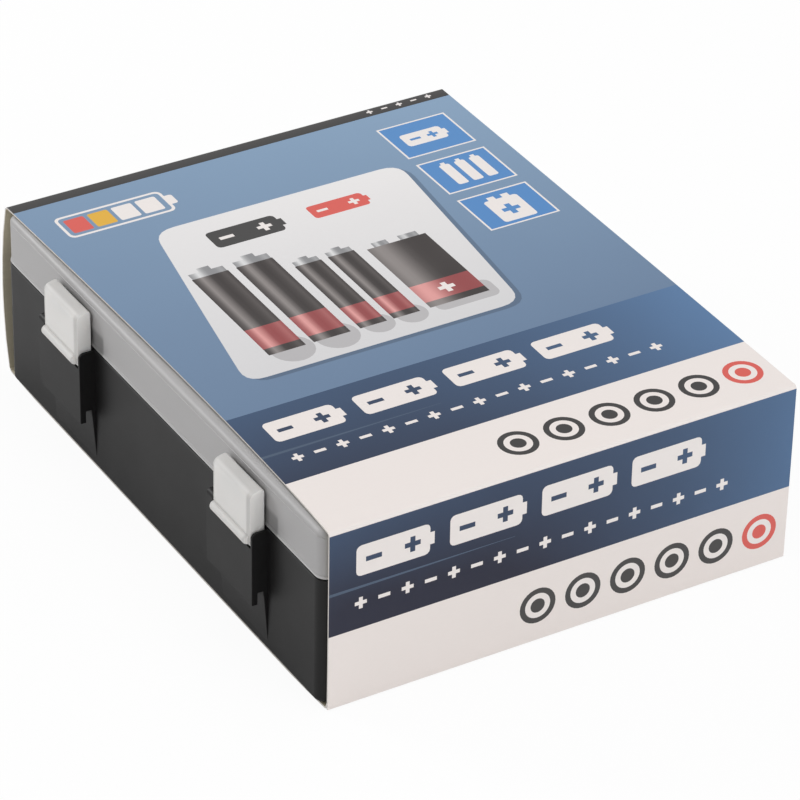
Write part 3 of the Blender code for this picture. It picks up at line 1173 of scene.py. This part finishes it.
@dataclass
class SleeveArt(Print):
    """The sleeve's own print. Places are on a page, and a span is the top and bottom of a field."""

    head: Flat = (0.0, 4.8)
    sky: Flat = (4.8, 127.4)
    navy: Flat = (127.4, 160.9)
    end_navy: Flat = (0.9, 32.5)
    row: float = 133.5
    end_row: float = 6.5
    row_lefts: tuple[float, ...] = (8.0, 36.0, 64.0, 92.0)
    row_cell: Flat = (22.0, 9.5)
    glint: Flat = (147.0, 1.0)
    end_glint: Flat = (19.0, 0.9)
    sign_left: float = 9.5
    sign_drop: float = 18.0
    sign_gap: float = 7.0
    sign_count: int = 17
    sign_size: float = 3.6
    discs: float = 173.5
    end_discs: float = 44.5
    disc_left: float = 64.0
    disc_gap: float = 14.2
    disc: float = 5.6
    tile: tuple[float, ...] = (114.0, 13.0, 137.0, 32.0)
    tile_gap: float = 23.0
    plate: tuple[Flat, ...] = ((30.0, 33.0), (110.0, 33.0), (102.0, 114.0), (15.0, 114.0))
    plate_span: Flat = (33.0, 113.0)
    ground: float = 105.0
    large_cell: Flat = (11.5, 47.0)
    small_cell: Flat = (8.4, 39.0)
    square_cell: Flat = (19.0, 35.0)

    def stripe(self, ink: Ink, span: Flat) -> None:
        """Prints a field across the whole page."""
        self.add(ink, rectangle(0, span[0], self.page.width, span[1]), span)

    def draw_top(self) -> None:
        """Prints the top panel."""
        self.stripe(Ink.CHARCOAL, self.head)
        self.stripe(Ink.SKY, self.sky)
        self.signs(Ink.WHITE, (118.0, 2.4), 5.0, 5, 2.0)
        self.draw_gauge()
        self.draw_tiles()
        self.draw_plate()
        self.draw_band(self.navy, self.row, self.glint)
        self.draw_discs(self.discs)

    def draw_end(self) -> None:
        """Prints an end panel."""
        self.draw_band(self.end_navy, self.end_row, self.end_glint)
        self.draw_discs(self.end_discs)

    def draw_under(self) -> None:
        """Prints the panel that the box stands on."""
        self.add(Ink.CHARCOAL, rectangle(0, 6, self.page.width, 10))
        self.signs(Ink.CHARCOAL, (20.0, 24.0), 9.0, 5, 5.0)
        for x in (96.0, 110.0, 124.0):
            self.draw_disc((x, 24.0), 5.0, Ink.CHARCOAL)

    def draw_gauge(self) -> None:
        """Prints a charge gauge with coloured segments."""
        self.add(Ink.WHITE, rounded(8.0, 13.0, 42.0, 25.0, 2.0, 4))
        self.add(Ink.WHITE, rounded(41.0, 16.5, 44.2, 21.5, 0.8, 3))
        self.add(Ink.SKY, rounded(8.9, 13.9, 41.1, 24.1, 1.4, 4), self.sky)
        for number, ink in enumerate((Ink.RED, Ink.AMBER, Ink.WHITE, Ink.WHITE)):
            left = 10.2 + 7.6 * number
            self.add(ink, rounded(left, 15.2, left + 6.4, 22.8, 0.6, 3))

    def draw_tiles(self) -> None:
        """Prints three blue tiles, each with cells of another kind."""
        left, top, right, bottom = self.tile
        for number in range(3):
            drop = self.tile_gap * number
            self.frame(Ink.WHITE, Ink.TILE, (left, top + drop, right, bottom + drop), 0.6, self.sky)
        self.lying_cell((118.0, 19.0, 131.5, 26.0), Ink.WHITE, Ink.TILE)
        for x in (119.5, 124.5, 129.5):
            self.add(Ink.WHITE, rounded(x, 39.5, x + 3.4, 51.5, 0.7, 3))
            self.add(Ink.WHITE, rectangle(x + 1.0, 38.4, x + 2.4, 40.0))
        self.add(Ink.WHITE, rounded(120.0, 63.5, 131.0, 76.0, 1.0, 3))
        for x in (122.0, 126.6):
            self.add(Ink.WHITE, rectangle(x, 61.8, x + 2.4, 64.0))
        self.sign(Ink.TILE, (125.5, 70.0), 5.6, plus=True)

    def draw_plate(self) -> None:
        """Prints the slanted pale plate with its shadow and its cells."""
        for grow in (1.6, 0.8):
            moved = [(x + 0.5 + grow * 0.5, y + grow) for x, y in self.plate]
            self.add(Ink.SHADE, blunted(moved, 7.0), self.sky)
        self.add(Ink.PLATE, blunted(self.plate, 6.5), self.plate_span)
        for size, places in ((self.large_cell, (33.0, 47.0)), (self.small_cell, (60.0, 70.5))):
            for x in places:
                self.standing_cell(x, self.ground, *size)
        self.block_cell(87.5, self.ground, *self.square_cell)
        self.lying_cell((42.0, 40.5, 64.0, 49.5), Ink.CHARCOAL, Ink.WHITE)
        self.lying_cell((74.0, 41.5, 92.0, 48.5), Ink.RED, Ink.WHITE)

    def draw_band(self, span: Flat, row: float, glint: Flat) -> None:
        """Prints a dark blue band with cells, signs and a thin glint.

        Args:
            span: Top and bottom of the band.
            row: Top of the cells.
            glint: Top of the glint and its height at the left.
        """
        self.stripe(Ink.NAVY, span)
        width, height = self.row_cell
        for left in self.row_lefts:
            self.lying_cell((left, row, left + width, row + height), Ink.WHITE, Ink.NAVY)
        first = (self.sign_left, row + self.sign_drop)
        self.signs(Ink.WHITE, first, self.sign_gap, self.sign_count, self.sign_size)
        top, height = glint
        streak = [(0.0, 0.0), (56.0, 0.3), (56.0, 0.4), (0.0, height)]
        self.add(Ink.GLINT, [(x, top + down) for x, down in streak], span)

    def draw_discs(self, y: float) -> None:
        """Prints the row of rings in a white band, the last one red."""
        for number, ink in enumerate([Ink.CHARCOAL] * 5 + [Ink.RED]):
            self.draw_disc((self.disc_left + self.disc_gap * number, y), self.disc, ink)

    def draw_disc(self, centre: Flat, radius: float, ink: Ink) -> None:
        """Prints a ring with a dot in it."""
        for share, colour, steps in ((1.0, ink, 28), (0.70, Ink.WHITE, 28), (0.40, ink, 20)):
            self.add(colour, ring(centre, radius * share, steps))


@dataclass
class CardSleeve:
    """The folded card tube with its print and its glued flap."""

    length: float = 186.0
    depth: float = 144.0
    height: float = 56.0
    card: float = 0.5
    fold: float = 0.95
    foot_gap: float = 0.2
    flap_gap: float = 0.06
    flap_end: float = 45.6
    flap_inset: float = 0.8
    flap_cut: float = 3.0
    far_bow: float = 3.6
    far_lean: float = 1.0
    mouth_dip: float = 1.9
    foot_reach: float = 0.6
    fold_steps: int = 5
    grid: float = 9.0
    corners: list[Vector] = field(init=False)
    starts: list[float] = field(init=False)
    end_page: Page = field(init=False)
    top_page: Page = field(init=False)
    far_page: Page = field(init=False)
    under_page: Page = field(init=False)

    def __post_init__(self) -> None:
        """Lays out the folds and the printed pages."""
        half = self.length / 2
        inside = half - self.card - self.flap_gap
        path = ((half, self.foot_gap), (half, self.height), (-half, self.height),
                (-half - self.far_lean, 0.0), (inside, 0.0), (inside, self.flap_end))
        self.corners = [Vector(point) for point in path]
        self.starts = [0.0]
        for before, after in zip(self.corners, self.corners[1:]):
            self.starts.append(self.starts[-1] + (after - before).length)
        self.end_page = Page(self.starts[1], -1, 1, self.depth)
        self.top_page = Page(self.starts[2], -1, 1, self.depth)
        self.far_page = Page(self.starts[2], 1, -1, self.depth)
        self.under_page = Page(self.starts[3], 1, 1, self.depth)

    def place(self, along: float, y: float, inward: float) -> Place:
        """Folds a place on the blank.

        Args:
            along: Distance along the blank from its free edge.
            y: Place along the tube.
            inward: Depth below the printed face.

        Returns:
            The place in the frame.
        """
        for corner, before, fold in zip(self.corners[1:-1], self.corners, self.starts[1:-1]):
            if abs(along - fold) <= self.fold:
                run = (corner - before).normalized()
                out = Vector((run.y, -run.x))
                turn = (along - fold + self.fold) / (2 * self.fold) * math.pi / 2
                reach = (out * math.cos(turn) + run * math.sin(turn)) * (self.fold - inward)
                spot = corner - (run + out) * self.fold + reach
                return (spot.x, y, spot.y)
        part = max(index for index in range(len(self.starts) - 1) if self.starts[index] <= along + 1e-6)
        start = self.corners[part]
        span = self.corners[part + 1] - start
        run = span.normalized()
        out = Vector((run.y, -run.x))
        share = (along - self.starts[part]) / span.length
        spot = start + run * (along - self.starts[part]) + out * (self.bow(part, share, y) - inward)
        return (spot.x, y + self.shift(part, share, y), spot.y)

    def shift(self, part: int, share: float, y: float) -> float:
        """Works out how far a place near the latch side's mouth is moved along the tube.

        Args:
            part: Number of the panel.
            share: Share of the way along it.
            y: Place along the tube.

        Returns:
            The distance along Y.
        """
        near = max(0.0, -y / (self.depth / 2)) ** 6
        if part == 1:
            return near * self.mouth_dip * math.sin(math.pi * share ** 0.75)
        if part == 3:
            return -near * self.foot_reach * min(1.0, share * 12, (1 - share) * 12)
        return 0.0

    def bow(self, part: int, share: float, y: float) -> float:
        """Works out how far a panel stands out from flat.

        Args:
            part: Number of the panel.
            share: Share of the way along it.
            y: Place along the tube.

        Returns:
            The distance.
        """
        rise = math.sin(math.pi * min(max(share, 0.0), 1.0))
        ripple = 0.05 * noise.noise(Vector((share * 5.0, y / 26.0, part * 7.3)))
        if part == 2:
            return rise ** 0.7 * (self.far_bow * (0.55 - 0.45 * y / (self.depth / 2)) + ripple)
        if part == 1:
            return rise * (0.12 + ripple)
        if part == 0:
            return math.sin(math.pi * min(share * 1.02, 1.0)) * (0.10 + ripple)
        return 0.0

    def stations(self) -> list[float]:
        """Finds where the blank may bend.

        Returns:
            The places along the blank, in order.
        """
        places: list[float] = []
        for index, (low, high) in enumerate(zip(self.starts, self.starts[1:])):
            start = low + (self.fold if index else 0.0)
            stop = high - (self.fold if index < len(self.starts) - 2 else 0.0)
            count = max(2, round((stop - start) / self.grid))
            places += [start + (stop - start) * step / count for step in range(count + 1)]
        for corner in self.starts[1:-1]:
            steps = range(1, self.fold_steps)
            places += [corner - self.fold + 2 * self.fold * step / self.fold_steps for step in steps]
        return sorted(places)

    def blank_outline(self) -> list[Flat]:
        """Draws the flat blank.

        Returns:
            Its outline.
        """
        half = self.depth / 2
        flap = half - self.flap_inset
        start = self.starts[4]
        end = self.starts[5]
        cut = self.flap_cut
        side = [(start + self.fold, half), (start + 3, flap), (end - cut, flap), (end, flap - cut)]
        low = [(along, -y) for along, y in side]
        return [(0.0, -half), *low, *reversed(side), (0.0, half)]

    def artwork(self) -> Print:
        """Prints all the panels.

        Returns:
            The print.
        """
        blank = Patch(Ink.WHITE, tuple(self.blank_outline()), self.top_page, WHOLE)
        art = SleeveArt(self.top_page, [blank])
        art.draw_top()
        for page in (self.end_page, self.far_page):
            art.page = page
            art.draw_end()
        art.page = self.under_page
        art.draw_under()
        return art

    def cut_blank(self, art: Print) -> tuple[list[Flat], list[tuple[int, ...]], list[Patch]]:
        """Cuts the blank into triangles that follow the print and the bends.

        Args:
            art: The print.

        Returns:
            The flat points, the triangles, and the patch that each triangle shows.
        """
        half = self.depth / 2
        total = self.starts[-1]
        cuts = [((along, -half), (along, half)) for along in self.stations() if 0.0 < along < total]
        count = round(self.depth / self.grid)
        for step in range(1, count):
            y = -half + self.depth * step / count
            cuts.append(((0.0, y), (total, y)))
        points, loops = traced([patch.outline for patch in art.patches])
        ends, lines = traced(cuts)
        lines = [(len(points) + start, len(points) + end) for start, end in lines]
        points += ends
        spots, _, triangles, _, _, owners = delaunay_2d_cdt(points, lines, loops, 1, 1e-4)
        kept = [(tri, art.patches[max(own)]) for tri, own in zip(triangles, owners) if own]
        flat = [(spot.x, spot.y) for spot in spots]
        return flat, [tuple(tri) for tri, _ in kept], [patch for _, patch in kept]

    def build(self) -> bpy.types.Object:
        """Builds and prints the sleeve.

        Returns:
            The finished piece.
        """
        flat, triangles, patches = self.cut_blank(self.artwork())
        sides = (0.0, self.card)
        points = [Vector(self.place(along, y, deep)) * METRES for deep in sides for along, y in flat]
        outside = [tuple(reversed(tri)) for tri in triangles]
        piece = meshed("printed_sleeve", points, slab(len(flat), outside))
        data = piece.data
        for look in (PrintedCard(), BOARD, CUT_EDGE):
            data.materials.append(made(look))
        count = len(triangles)
        for polygon in data.polygons:
            polygon.material_index = min(polygon.index // count, 2)
        self.colour(data, flat, patches)
        smooth(data, 40)
        settle(piece, Rider.SLEEVE, ("card_sleeve",))
        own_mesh(piece)
        return piece

    def fade(self, patch: Patch, x: float, drop: float) -> float:
        """Returns how bright a field is at a place, with the dark blue band painted lighter on the top
        panel.

        Args:
            patch: The printed shape.
            x: Place on the page, from the left.
            drop: Share of the field's height, from the top.

        Returns:
            Nought for the dull ink, one for the bright ink.
        """
        if patch.barrel is not None:
            left, right = patch.barrel
            turn = (x - left) / (right - left)
            glint = math.exp(-((turn - 0.27) / 0.13) ** 2)
            return 0.10 + 0.72 * glint + 0.16 * math.exp(-((turn - 0.86) / 0.10) ** 2)
        across = min(max(x / self.depth, 0.0), 1.0)
        if patch.ink is Ink.NAVY:
            # Painted light on the top panel's dark blue band, and painted shade on the end panels' bands.
            panel_light = 0.13 if patch.page is self.top_page else -0.10
            return max(0.0, panel_light + 0.88 * across ** 2.4 + (0.35 - panel_light / 2) * (1 - drop) * (1 - across))
        return 0.08 + (1 - drop) * (0.55 + 0.40 * across)

    def colour(self, data: bpy.types.Mesh, flat: Sequence[Flat], patches: Sequence[Patch]) -> None:
        """Writes the inks and the place in each field's fade on the mesh.

        Args:
            data: The mesh, whose first faces are the printed ones.
            flat: The points on the blank.
            patches: The patch of each printed face.
        """
        dull = data.attributes.new("ink", "FLOAT_VECTOR", "FACE")
        bright = data.attributes.new("bright", "FLOAT_VECTOR", "FACE")
        spot = data.attributes.new("spot", "FLOAT_VECTOR", "CORNER")
        folds = self.starts[1:-1]
        for polygon, patch in zip(data.polygons, patches):
            dull.data[polygon.index].vector = patch.ink.dull
            bright.data[polygon.index].vector = patch.ink.bright
            top, bottom = patch.span
            for corner in polygon.loop_indices:
                along, y = flat[data.loops[corner].vertex_index]
                x, down = patch.page.page(along, y)
                drop = min(max((down - top) / (bottom - top), 0.0), 1.0)
                near = min(abs(along - fold) for fold in folds)
                glow = self.fade(patch, x, drop)
                spot.data[corner].vector = (glow, drop, near)


# Lid


@dataclass
class Lid:
    """The frosted lid with its rounded crown, lower lip, knuckles and latch lugs."""

    crown: float = 1.6
    lip: float = 0.3
    lip_height: float = 1.1
    top_skin: float = 1.6
    groove: float = 0.14
    lug_width: float = 9.0
    lug_radius: float = 1.2
    lug_root: float = 0.9
    lug_neck: Flat = (5.1, 7.4)
    knuckle_half: float = 4.0

    def profile(self) -> list[Flat]:
        """Draws the lid's wall from the ceiling down, round the lip and up to the top.

        Returns:
            Insets and heights.
        """
        lip_middle = PLAN.lid_bottom + self.lip_height / 2
        wall = self.lip
        under = PLAN.top - self.crown
        ceiling = PLAN.top - self.top_skin
        points: list[Flat] = [
            (wall + PLAN.wall + 1.0, ceiling), (wall + PLAN.wall + 0.3, ceiling - 0.3),
            (wall + PLAN.wall, ceiling - 1.0), (wall + PLAN.wall, PLAN.lid_bottom + 0.2),
            (wall + PLAN.wall - 0.2, PLAN.lid_bottom)]
        for turn in (-60, -20, 20, 60):
            angle = math.radians(turn)
            points.append((0.30 * (1 - math.cos(angle)), lip_middle + 0.55 * math.sin(angle)))
        points += [(wall, PLAN.lid_bottom + self.lip_height + 0.1), (wall, under - 0.5),
                   (wall + self.groove, under - 0.38), (wall + self.groove, under - 0.12)]
        return points + arc((wall + self.crown, under), self.crown, 180, 90, 6)

    def build(self) -> bpy.types.Object:
        """Builds the lid.

        Returns:
            The finished piece.
        """
        loops = [PLAN.outline(inset, height) for inset, height in self.profile()]
        body = Body.loft("frosted_lid", loops)
        for side in Side:
            add_hinge(body, side, 1, ((-self.knuckle_half, self.knuckle_half),))
            self.add_lug(body, side)
        return body.finish(FROSTED, Slot.LID, Rider.LID, ("lid",))

    def add_lug(self, body: Body, side: Side) -> None:
        """Adds the lug that carries one latch, on a neck that slopes down to the wall.

        Args:
            body: The body that gets it.
            side: Its end of the box.
        """
        axis = PLAN.latch_axis(side)
        high, low = (axis[2] - drop for drop in self.lug_neck)
        nose = arc((PLAN.latch_out, axis[2]), self.lug_radius, 235, -60, 24)
        outline = [(-self.lug_root, high), *nose, (-self.lug_root, low)]
        lug = block("lug", outline, axis[0], self.lug_width / 2)
        body.join(lug).cut(Body.rod("bore", axis, PLAN.latch_hole, self.lug_width + 2))


# Latches


@dataclass
class Latch:
    """A latch: a rounded block with two cheeks, a round lip at its foot and a hook inside."""

    side: Side
    width: float = 20.0
    foot: float = 35.4
    crest: float = 2.35
    back: float = 0.35
    back_round: float = 1.1
    front_round: float = 2.2
    face_out: float = 4.8
    lip_out: float = 6.15
    lip_round: float = 1.5
    lip_ends: Flat = (-0.1, -0.9)
    relief_out: float = 0.6
    relief_top: float = 39.3
    cheek: float = 2.0
    plate: float = 2.0
    room_foot: float = 1.8
    room_top: float = 1.8
    slot_foot: float = 2.55
    slot_round: float = 1.6
    slot_open: float = 130.0
    slot_half: float = 4.8
    hole_width: float = 16.6
    edge: float = 0.3

    def outline(self) -> list[Flat]:
        """Draws the latch seen from its end.

        Returns:
            Distances out and heights.
        """
        high = PLAN.latch_height + self.crest
        back = arc((self.back + self.back_round, high - self.back_round), self.back_round, 180, 90, 5)
        front = arc((self.face_out - self.front_round, high - 2.5), self.front_round, 78, 0, 8)
        return [(self.back, self.foot + 0.4), *back, *front, (self.face_out, self.foot + 0.5),
                (self.face_out - 0.5, self.foot), (self.back + 0.4, self.foot)]

    def lip(self) -> Body:
        """Makes the round bar at the latch's foot, which ends short of one side.

        Returns:
            The bar.
        """
        low, high = self.lip_ends
        x = PLAN.latch_axis(self.side)[0] + (low + high) / 2
        centre = (self.lip_out - self.lip_round, self.foot + self.lip_round + 0.15)
        bar = block("lip", ring(centre, self.lip_round, 24), x, (self.width + high - low) / 2)
        return bar.soften(0.7, 4, 60)

    def build(self) -> bpy.types.Object:
        """Builds the latch.

        Returns:
            The finished piece.
        """
        name = f"latch_{self.side.name.lower()}"
        axis = PLAN.latch_axis(self.side)
        x, _, z = axis
        inner = -2.0
        above = z + 3.2
        half = self.width / 2
        body = block(f"{name}_shell", self.outline(), x, half).soften(self.edge, 3, 50).join(self.lip())
        relief = rectangle(inner, self.foot - 2, self.relief_out, self.relief_top)
        room = rectangle(inner, self.foot + self.room_foot, self.face_out - self.plate, z - self.room_top)
        slot = [*arc((PLAN.latch_out, z), self.slot_round, 0, self.slot_open, 8), (-0.15, above),
                (inner, above), (inner, z - self.slot_foot),
                (PLAN.latch_out + self.slot_round, z - self.slot_foot)]
        for tool, outline, reach in (("relief", relief, half + 2), ("room", room, half - self.cheek),
                                     ("slot", slot, self.slot_half)):
            body.cut(block(tool, outline, x, reach))
        body.cut(Body.rod("bore", axis, PLAN.latch_hole, self.hole_width))
        return body.finish(MILKY, Slot.LATCH, Rider(name), (name,))


# Base


@dataclass
class Base:
    """The black base with its catches, tabs and hinge knuckles."""

    floor: float = 1.6
    foot_round: float = 1.6
    catch_width: float = 25.0
    catch_out: float = 4.8
    catch_foot: float = 17.0
    skirt: float = 1.8
    skirt_drop: float = 3.7
    panel_out: float = 1.3
    panel_foot: float = 3.9
    root: float = 0.8
    notch_floor: float = 35.0
    notch_half: float = 10.4
    rib_foot: float = 37.5
    rib_half: float = 7.0
    tab_offset: float = 6.5
    tab_width: float = 23.0
    tab_height: float = 6.5
    tab_root: float = 6.0
    tab_in: float = 2.3
    tab_thickness: float = 1.2
    knuckles: tuple[Flat, ...] = ((-8.5, -4.3), (4.3, 8.5))

    def build(self) -> bpy.types.Object:
        """Builds the base.

        Returns:
            The finished piece.
        """
        centre = (self.foot_round, PLAN.bottom + self.foot_round)
        profile = arc(centre, self.foot_round, 270, 180, 5)
        profile += [(0.0, PLAN.parting - 0.15), (0.15, PLAN.parting), (PLAN.wall - 0.15, PLAN.parting),
                    (PLAN.wall, PLAN.parting - 0.15), (PLAN.wall, PLAN.bottom + self.floor + 0.8),
                    (PLAN.wall + 0.8, PLAN.bottom + self.floor)]
        body = Body.loft("black_base", [PLAN.outline(inset, height) for inset, height in profile])
        for side in Side:
            self.add_catch(body, side)
            self.add_tab(body, side)
            add_hinge(body, side, -1, self.knuckles)
        return body.finish(BLACK, Slot.BASE, Rider.BOX, ("base_shell",))

    def catch_outline(self) -> list[Flat]:
        """Draws a catch seen from its end.

        Returns:
            Distances out and heights.
        """
        roof = PLAN.parting - 0.3
        inside = self.catch_foot + self.skirt_drop
        shoulder = arc((self.catch_out - 1.5, roof - 1.5), 1.5, 90, 0, 6)
        return [(-self.root, roof), *shoulder, (self.catch_out, self.catch_foot + 0.2),
                (self.catch_out - 0.2, self.catch_foot), (self.catch_out - self.skirt, self.catch_foot),
                (self.catch_out - self.skirt, inside), (self.panel_out, inside),
                (0.0, self.panel_foot), (-self.root, self.panel_foot)]

    def add_catch(self, body: Body, side: Side) -> None:
        """Adds one catch with the notch for its latch and the small rib that the hook passes.

        Args:
            body: The body that gets it.
            side: Its end of the box.
        """
        x = side.of(PLAN.catch_x)
        latch = PLAN.latch_axis(side)[0]
        catch = block("catch", self.catch_outline(), x, self.catch_width / 2).soften(0.22, 2, 60)
        room = rectangle(-0.2, self.notch_floor, self.catch_out + 2, PLAN.parting + 2)
        foot = self.rib_foot
        bead = [(-self.root, foot), (0.3, foot), (0.3, foot + 0.4), (-0.2, foot + 0.8),
                (-self.root, foot + 0.8)]
        body.join(catch).cut(block("notch", room, latch, self.notch_half))
        body.join(block("rib", bead, latch, self.rib_half))

    def add_tab(self, body: Body, side: Side) -> None:
        """Adds the tab that stands inside the lid's front wall.

        Args:
            body: The body that gets it.
            side: Its end of the box.
        """
        x = side.of(PLAN.catch_x) + self.tab_offset
        half = self.tab_width / 2
        inner = self.tab_in + self.tab_thickness
        low = PLAN.parting - self.tab_root
        high = PLAN.parting + self.tab_height
        tab = block("tab", [
            (-self.root, low), (-inner, low + inner), (-inner, high), (-self.tab_in, high),
            (-self.tab_in, PLAN.parting - 0.3), (-self.root, PLAN.parting - 0.3)], x, half)
        front = -PLAN.depth / 2
        corners = rounded(x - half, low - 10, x + half, high, 1.2, 5)
        ends = (front - 1, front + inner + 1)
        body.join(tab.keep(Body.loft("corners", [[(px, y, pz) for px, pz in corners] for y in ends])))


# Tray


@dataclass
class Tray:
    """The moulded tray with its pockets and two compartments."""

    half_length: float = 87.3
    half_depth: float = 69.7
    top: float = 39.4
    foot: float = 2.7
    columns: tuple[Flat, ...] = (
        (66.3, 83.3), (46.7, 63.7), (27.1, 44.1), (7.5, 24.5),
        (-14.6, 4.9), (-29.7, -17.2), (-44.8, -32.3))
    rows: tuple[Flat, ...] = ((-65.2, -34.55), (-31.95, -1.3), (1.3, 31.95), (34.55, 65.2))
    long_x: Flat = (-82.3, -47.4)

    def pockets(self) -> list[tuple[float, float, float, float]]:
        """Places the openings.

        Returns:
            Left, low, right and high of each.
        """
        cells = [(x[0], y[0], x[1], y[1]) for x in self.columns for y in self.rows]
        left, right = self.long_x
        for first, last in ((0, 2), (3, 3)):
            cells.append((left, self.rows[first][0], right, self.rows[last][1]))
        return cells

    def build(self) -> bpy.types.Object:
        """Builds the tray.

        Returns:
            The finished piece.
        """
        ribs = ["tray_frame", "tray_end_rib"]
        ribs += [f"tray_long_rib_{number}" for number in range(1, 8)]
        ribs += [f"tray_cross_rib_{number}" for number in range(1, 4)]
        left, right = PLAN.middle - self.half_length, PLAN.middle + self.half_length
        outer = rounded(left, -self.half_depth, right, self.half_depth, 4.0, 8)
        points, loops = traced([outer, *(rounded(*pocket, 2.6, 5) for pocket in self.pockets())])
        lines = [pair for loop in loops for pair in zip(loop, loop[1:] + loop[:1])]
        spots, _, faces, _, _, owners = delaunay_2d_cdt(points, lines, loops, 1, 1e-5)
        plate = [tuple(face) for face, own in zip(faces, owners) if set(own) == {0}]
        flat = [(spot.x, spot.y) for spot in spots]
        solid = [(x, y, height) for height in (self.top, self.foot) for x, y in flat]
        body = Body("cell_tray", solid, slab(len(flat), plate))
        body.soften(0.35, 2, 60)
        return body.finish(TRAY_BLACK, Slot.TRAY, Rider.BOX, ribs)


# Light and camera


@dataclass
class Lamp:
    """A soft square lamp that looks at the box.

    Attributes:
        name: Its name.
        place: Where it stands, in metres.
        size: Its width, in metres.
        share: Share of a colour that it shows on a surface which faces it.
    """

    name: str
    place: Place
    size: float
    share: float

    def build(self) -> bpy.types.Object:
        """Adds the lamp.

        Returns:
            The lamp.
        """
        data = bpy.data.lights.new(self.name, "AREA")
        data.shape = "SQUARE"
        data.size = self.size
        target = Vector((0.0, 0.0, 0.03))
        offset = Vector(self.place) - target
        data.energy = self.share * math.pi ** 2 * offset.length_squared
        lamp = shown(self.name, data)
        lamp.location = self.place
        lamp.rotation_euler = offset.to_track_quat("Z", "Y").to_euler()
        return lamp


@dataclass
class Studio:
    """White surroundings, a pale floor, soft lamps and the photo's camera."""

    azimuth: float = 58.942
    elevation: float = 33.153
    roll: float = 1.217
    distance: float = 1.2238
    aim: Place = (0.01103, -0.00260, 0.028)
    lens: float = 198.59
    ambient: float = 0.50
    lamps: tuple[Lamp, ...] = (
        Lamp("lamp_above", (0.10, 0.15, 1.5), 1.1, 0.34),
        Lamp("lamp_left", (-0.86, -0.62, 0.52), 0.40, 0.37),
        Lamp("lamp_right", (1.2, 0.35, 0.55), 0.9, 0.30),
    )

    def build(self) -> None:
        """Sets up the studio."""
        self.add_world()
        self.add_floor()
        for lamp in self.lamps:
            lamp.build()
        self.add_camera()
        scene = bpy.context.scene
        scene.render.engine = "CYCLES"
        scene.render.resolution_x = scene.render.resolution_y = 800
        scene.view_settings.view_transform = "Standard"

    def add_world(self) -> None:
        """Makes the surroundings white to the eye and softer as light."""
        graph = Graph(bpy.data.worlds.new("studio"))
        seen = graph.node("ShaderNodeLightPath", output="Is Camera Ray")
        strength = self.ambient + seen * (1.0 - self.ambient)
        values = {"Color": (1.0, 1.0, 1.0, 1.0), "Strength": strength}
        bpy.context.scene.world = graph.close(graph.node("ShaderNodeBackground", values=values))

    def add_floor(self) -> None:
        """Lays the floor."""
        reach = 6.0
        corners = rectangle(-reach, -reach, reach, reach)
        floor = meshed("floor", [(x, y, -0.0003) for x, y in corners], [(0, 1, 2, 3)])
        floor.data.materials.append(made(FloorPaint()))

    def add_camera(self) -> None:
        """Places the camera as the photograph was taken."""
        turns = (self.azimuth, self.elevation, self.roll)
        azimuth, elevation, roll = (math.radians(turn) for turn in turns)
        flat = math.cos(elevation)
        ahead = Vector((-math.sin(azimuth) * flat, math.cos(azimuth) * flat, -math.sin(elevation)))
        level = Vector((math.cos(azimuth), math.sin(azimuth), 0.0))
        upright = level.cross(ahead)
        right = level * math.cos(roll) + upright * math.sin(roll)
        up = upright * math.cos(roll) - level * math.sin(roll)
        eye = Vector(self.aim) - ahead * self.distance
        data = bpy.data.cameras.new("photo_camera")
        data.lens = self.lens
        data.sensor_width = 36.0
        data.clip_start = 0.05
        data.clip_end = 30.0
        camera = shown("photo_camera", data)
        turn = Matrix((right, up, -ahead)).transposed().to_4x4()
        camera.matrix_world = Matrix.Translation(eye) @ turn
        bpy.context.scene.camera = camera


def dress_pins(nodes: Mapping[str, bpy.types.Object]) -> None:
    """Gives the steel pins their finish.

    Args:
        nodes: The frame's nodes, by name.
    """
    steel = made(Steel())
    for name, node in nodes.items():
        if name.startswith(("hinge_pin", "latch_pin")):
            node.data.materials.clear()
            node.data.materials.append(steel)
            LOG.info("%s has its finish", name)


def main() -> None:
    """Builds every piece and reports it."""
    logging.basicConfig(level=logging.INFO, format="%(name)s: %(message)s")
    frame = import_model()
    dress_pins(frame["nodes"])
    for part in (Base(), Tray(), Lid(), Latch(Side.LEFT), Latch(Side.RIGHT), CardSleeve()):
        piece = part.build()
        LOG.info("%s has %d faces", piece.name, len(piece.data.polygons))
    Studio().build()


if __name__ == "__main__":
    main()
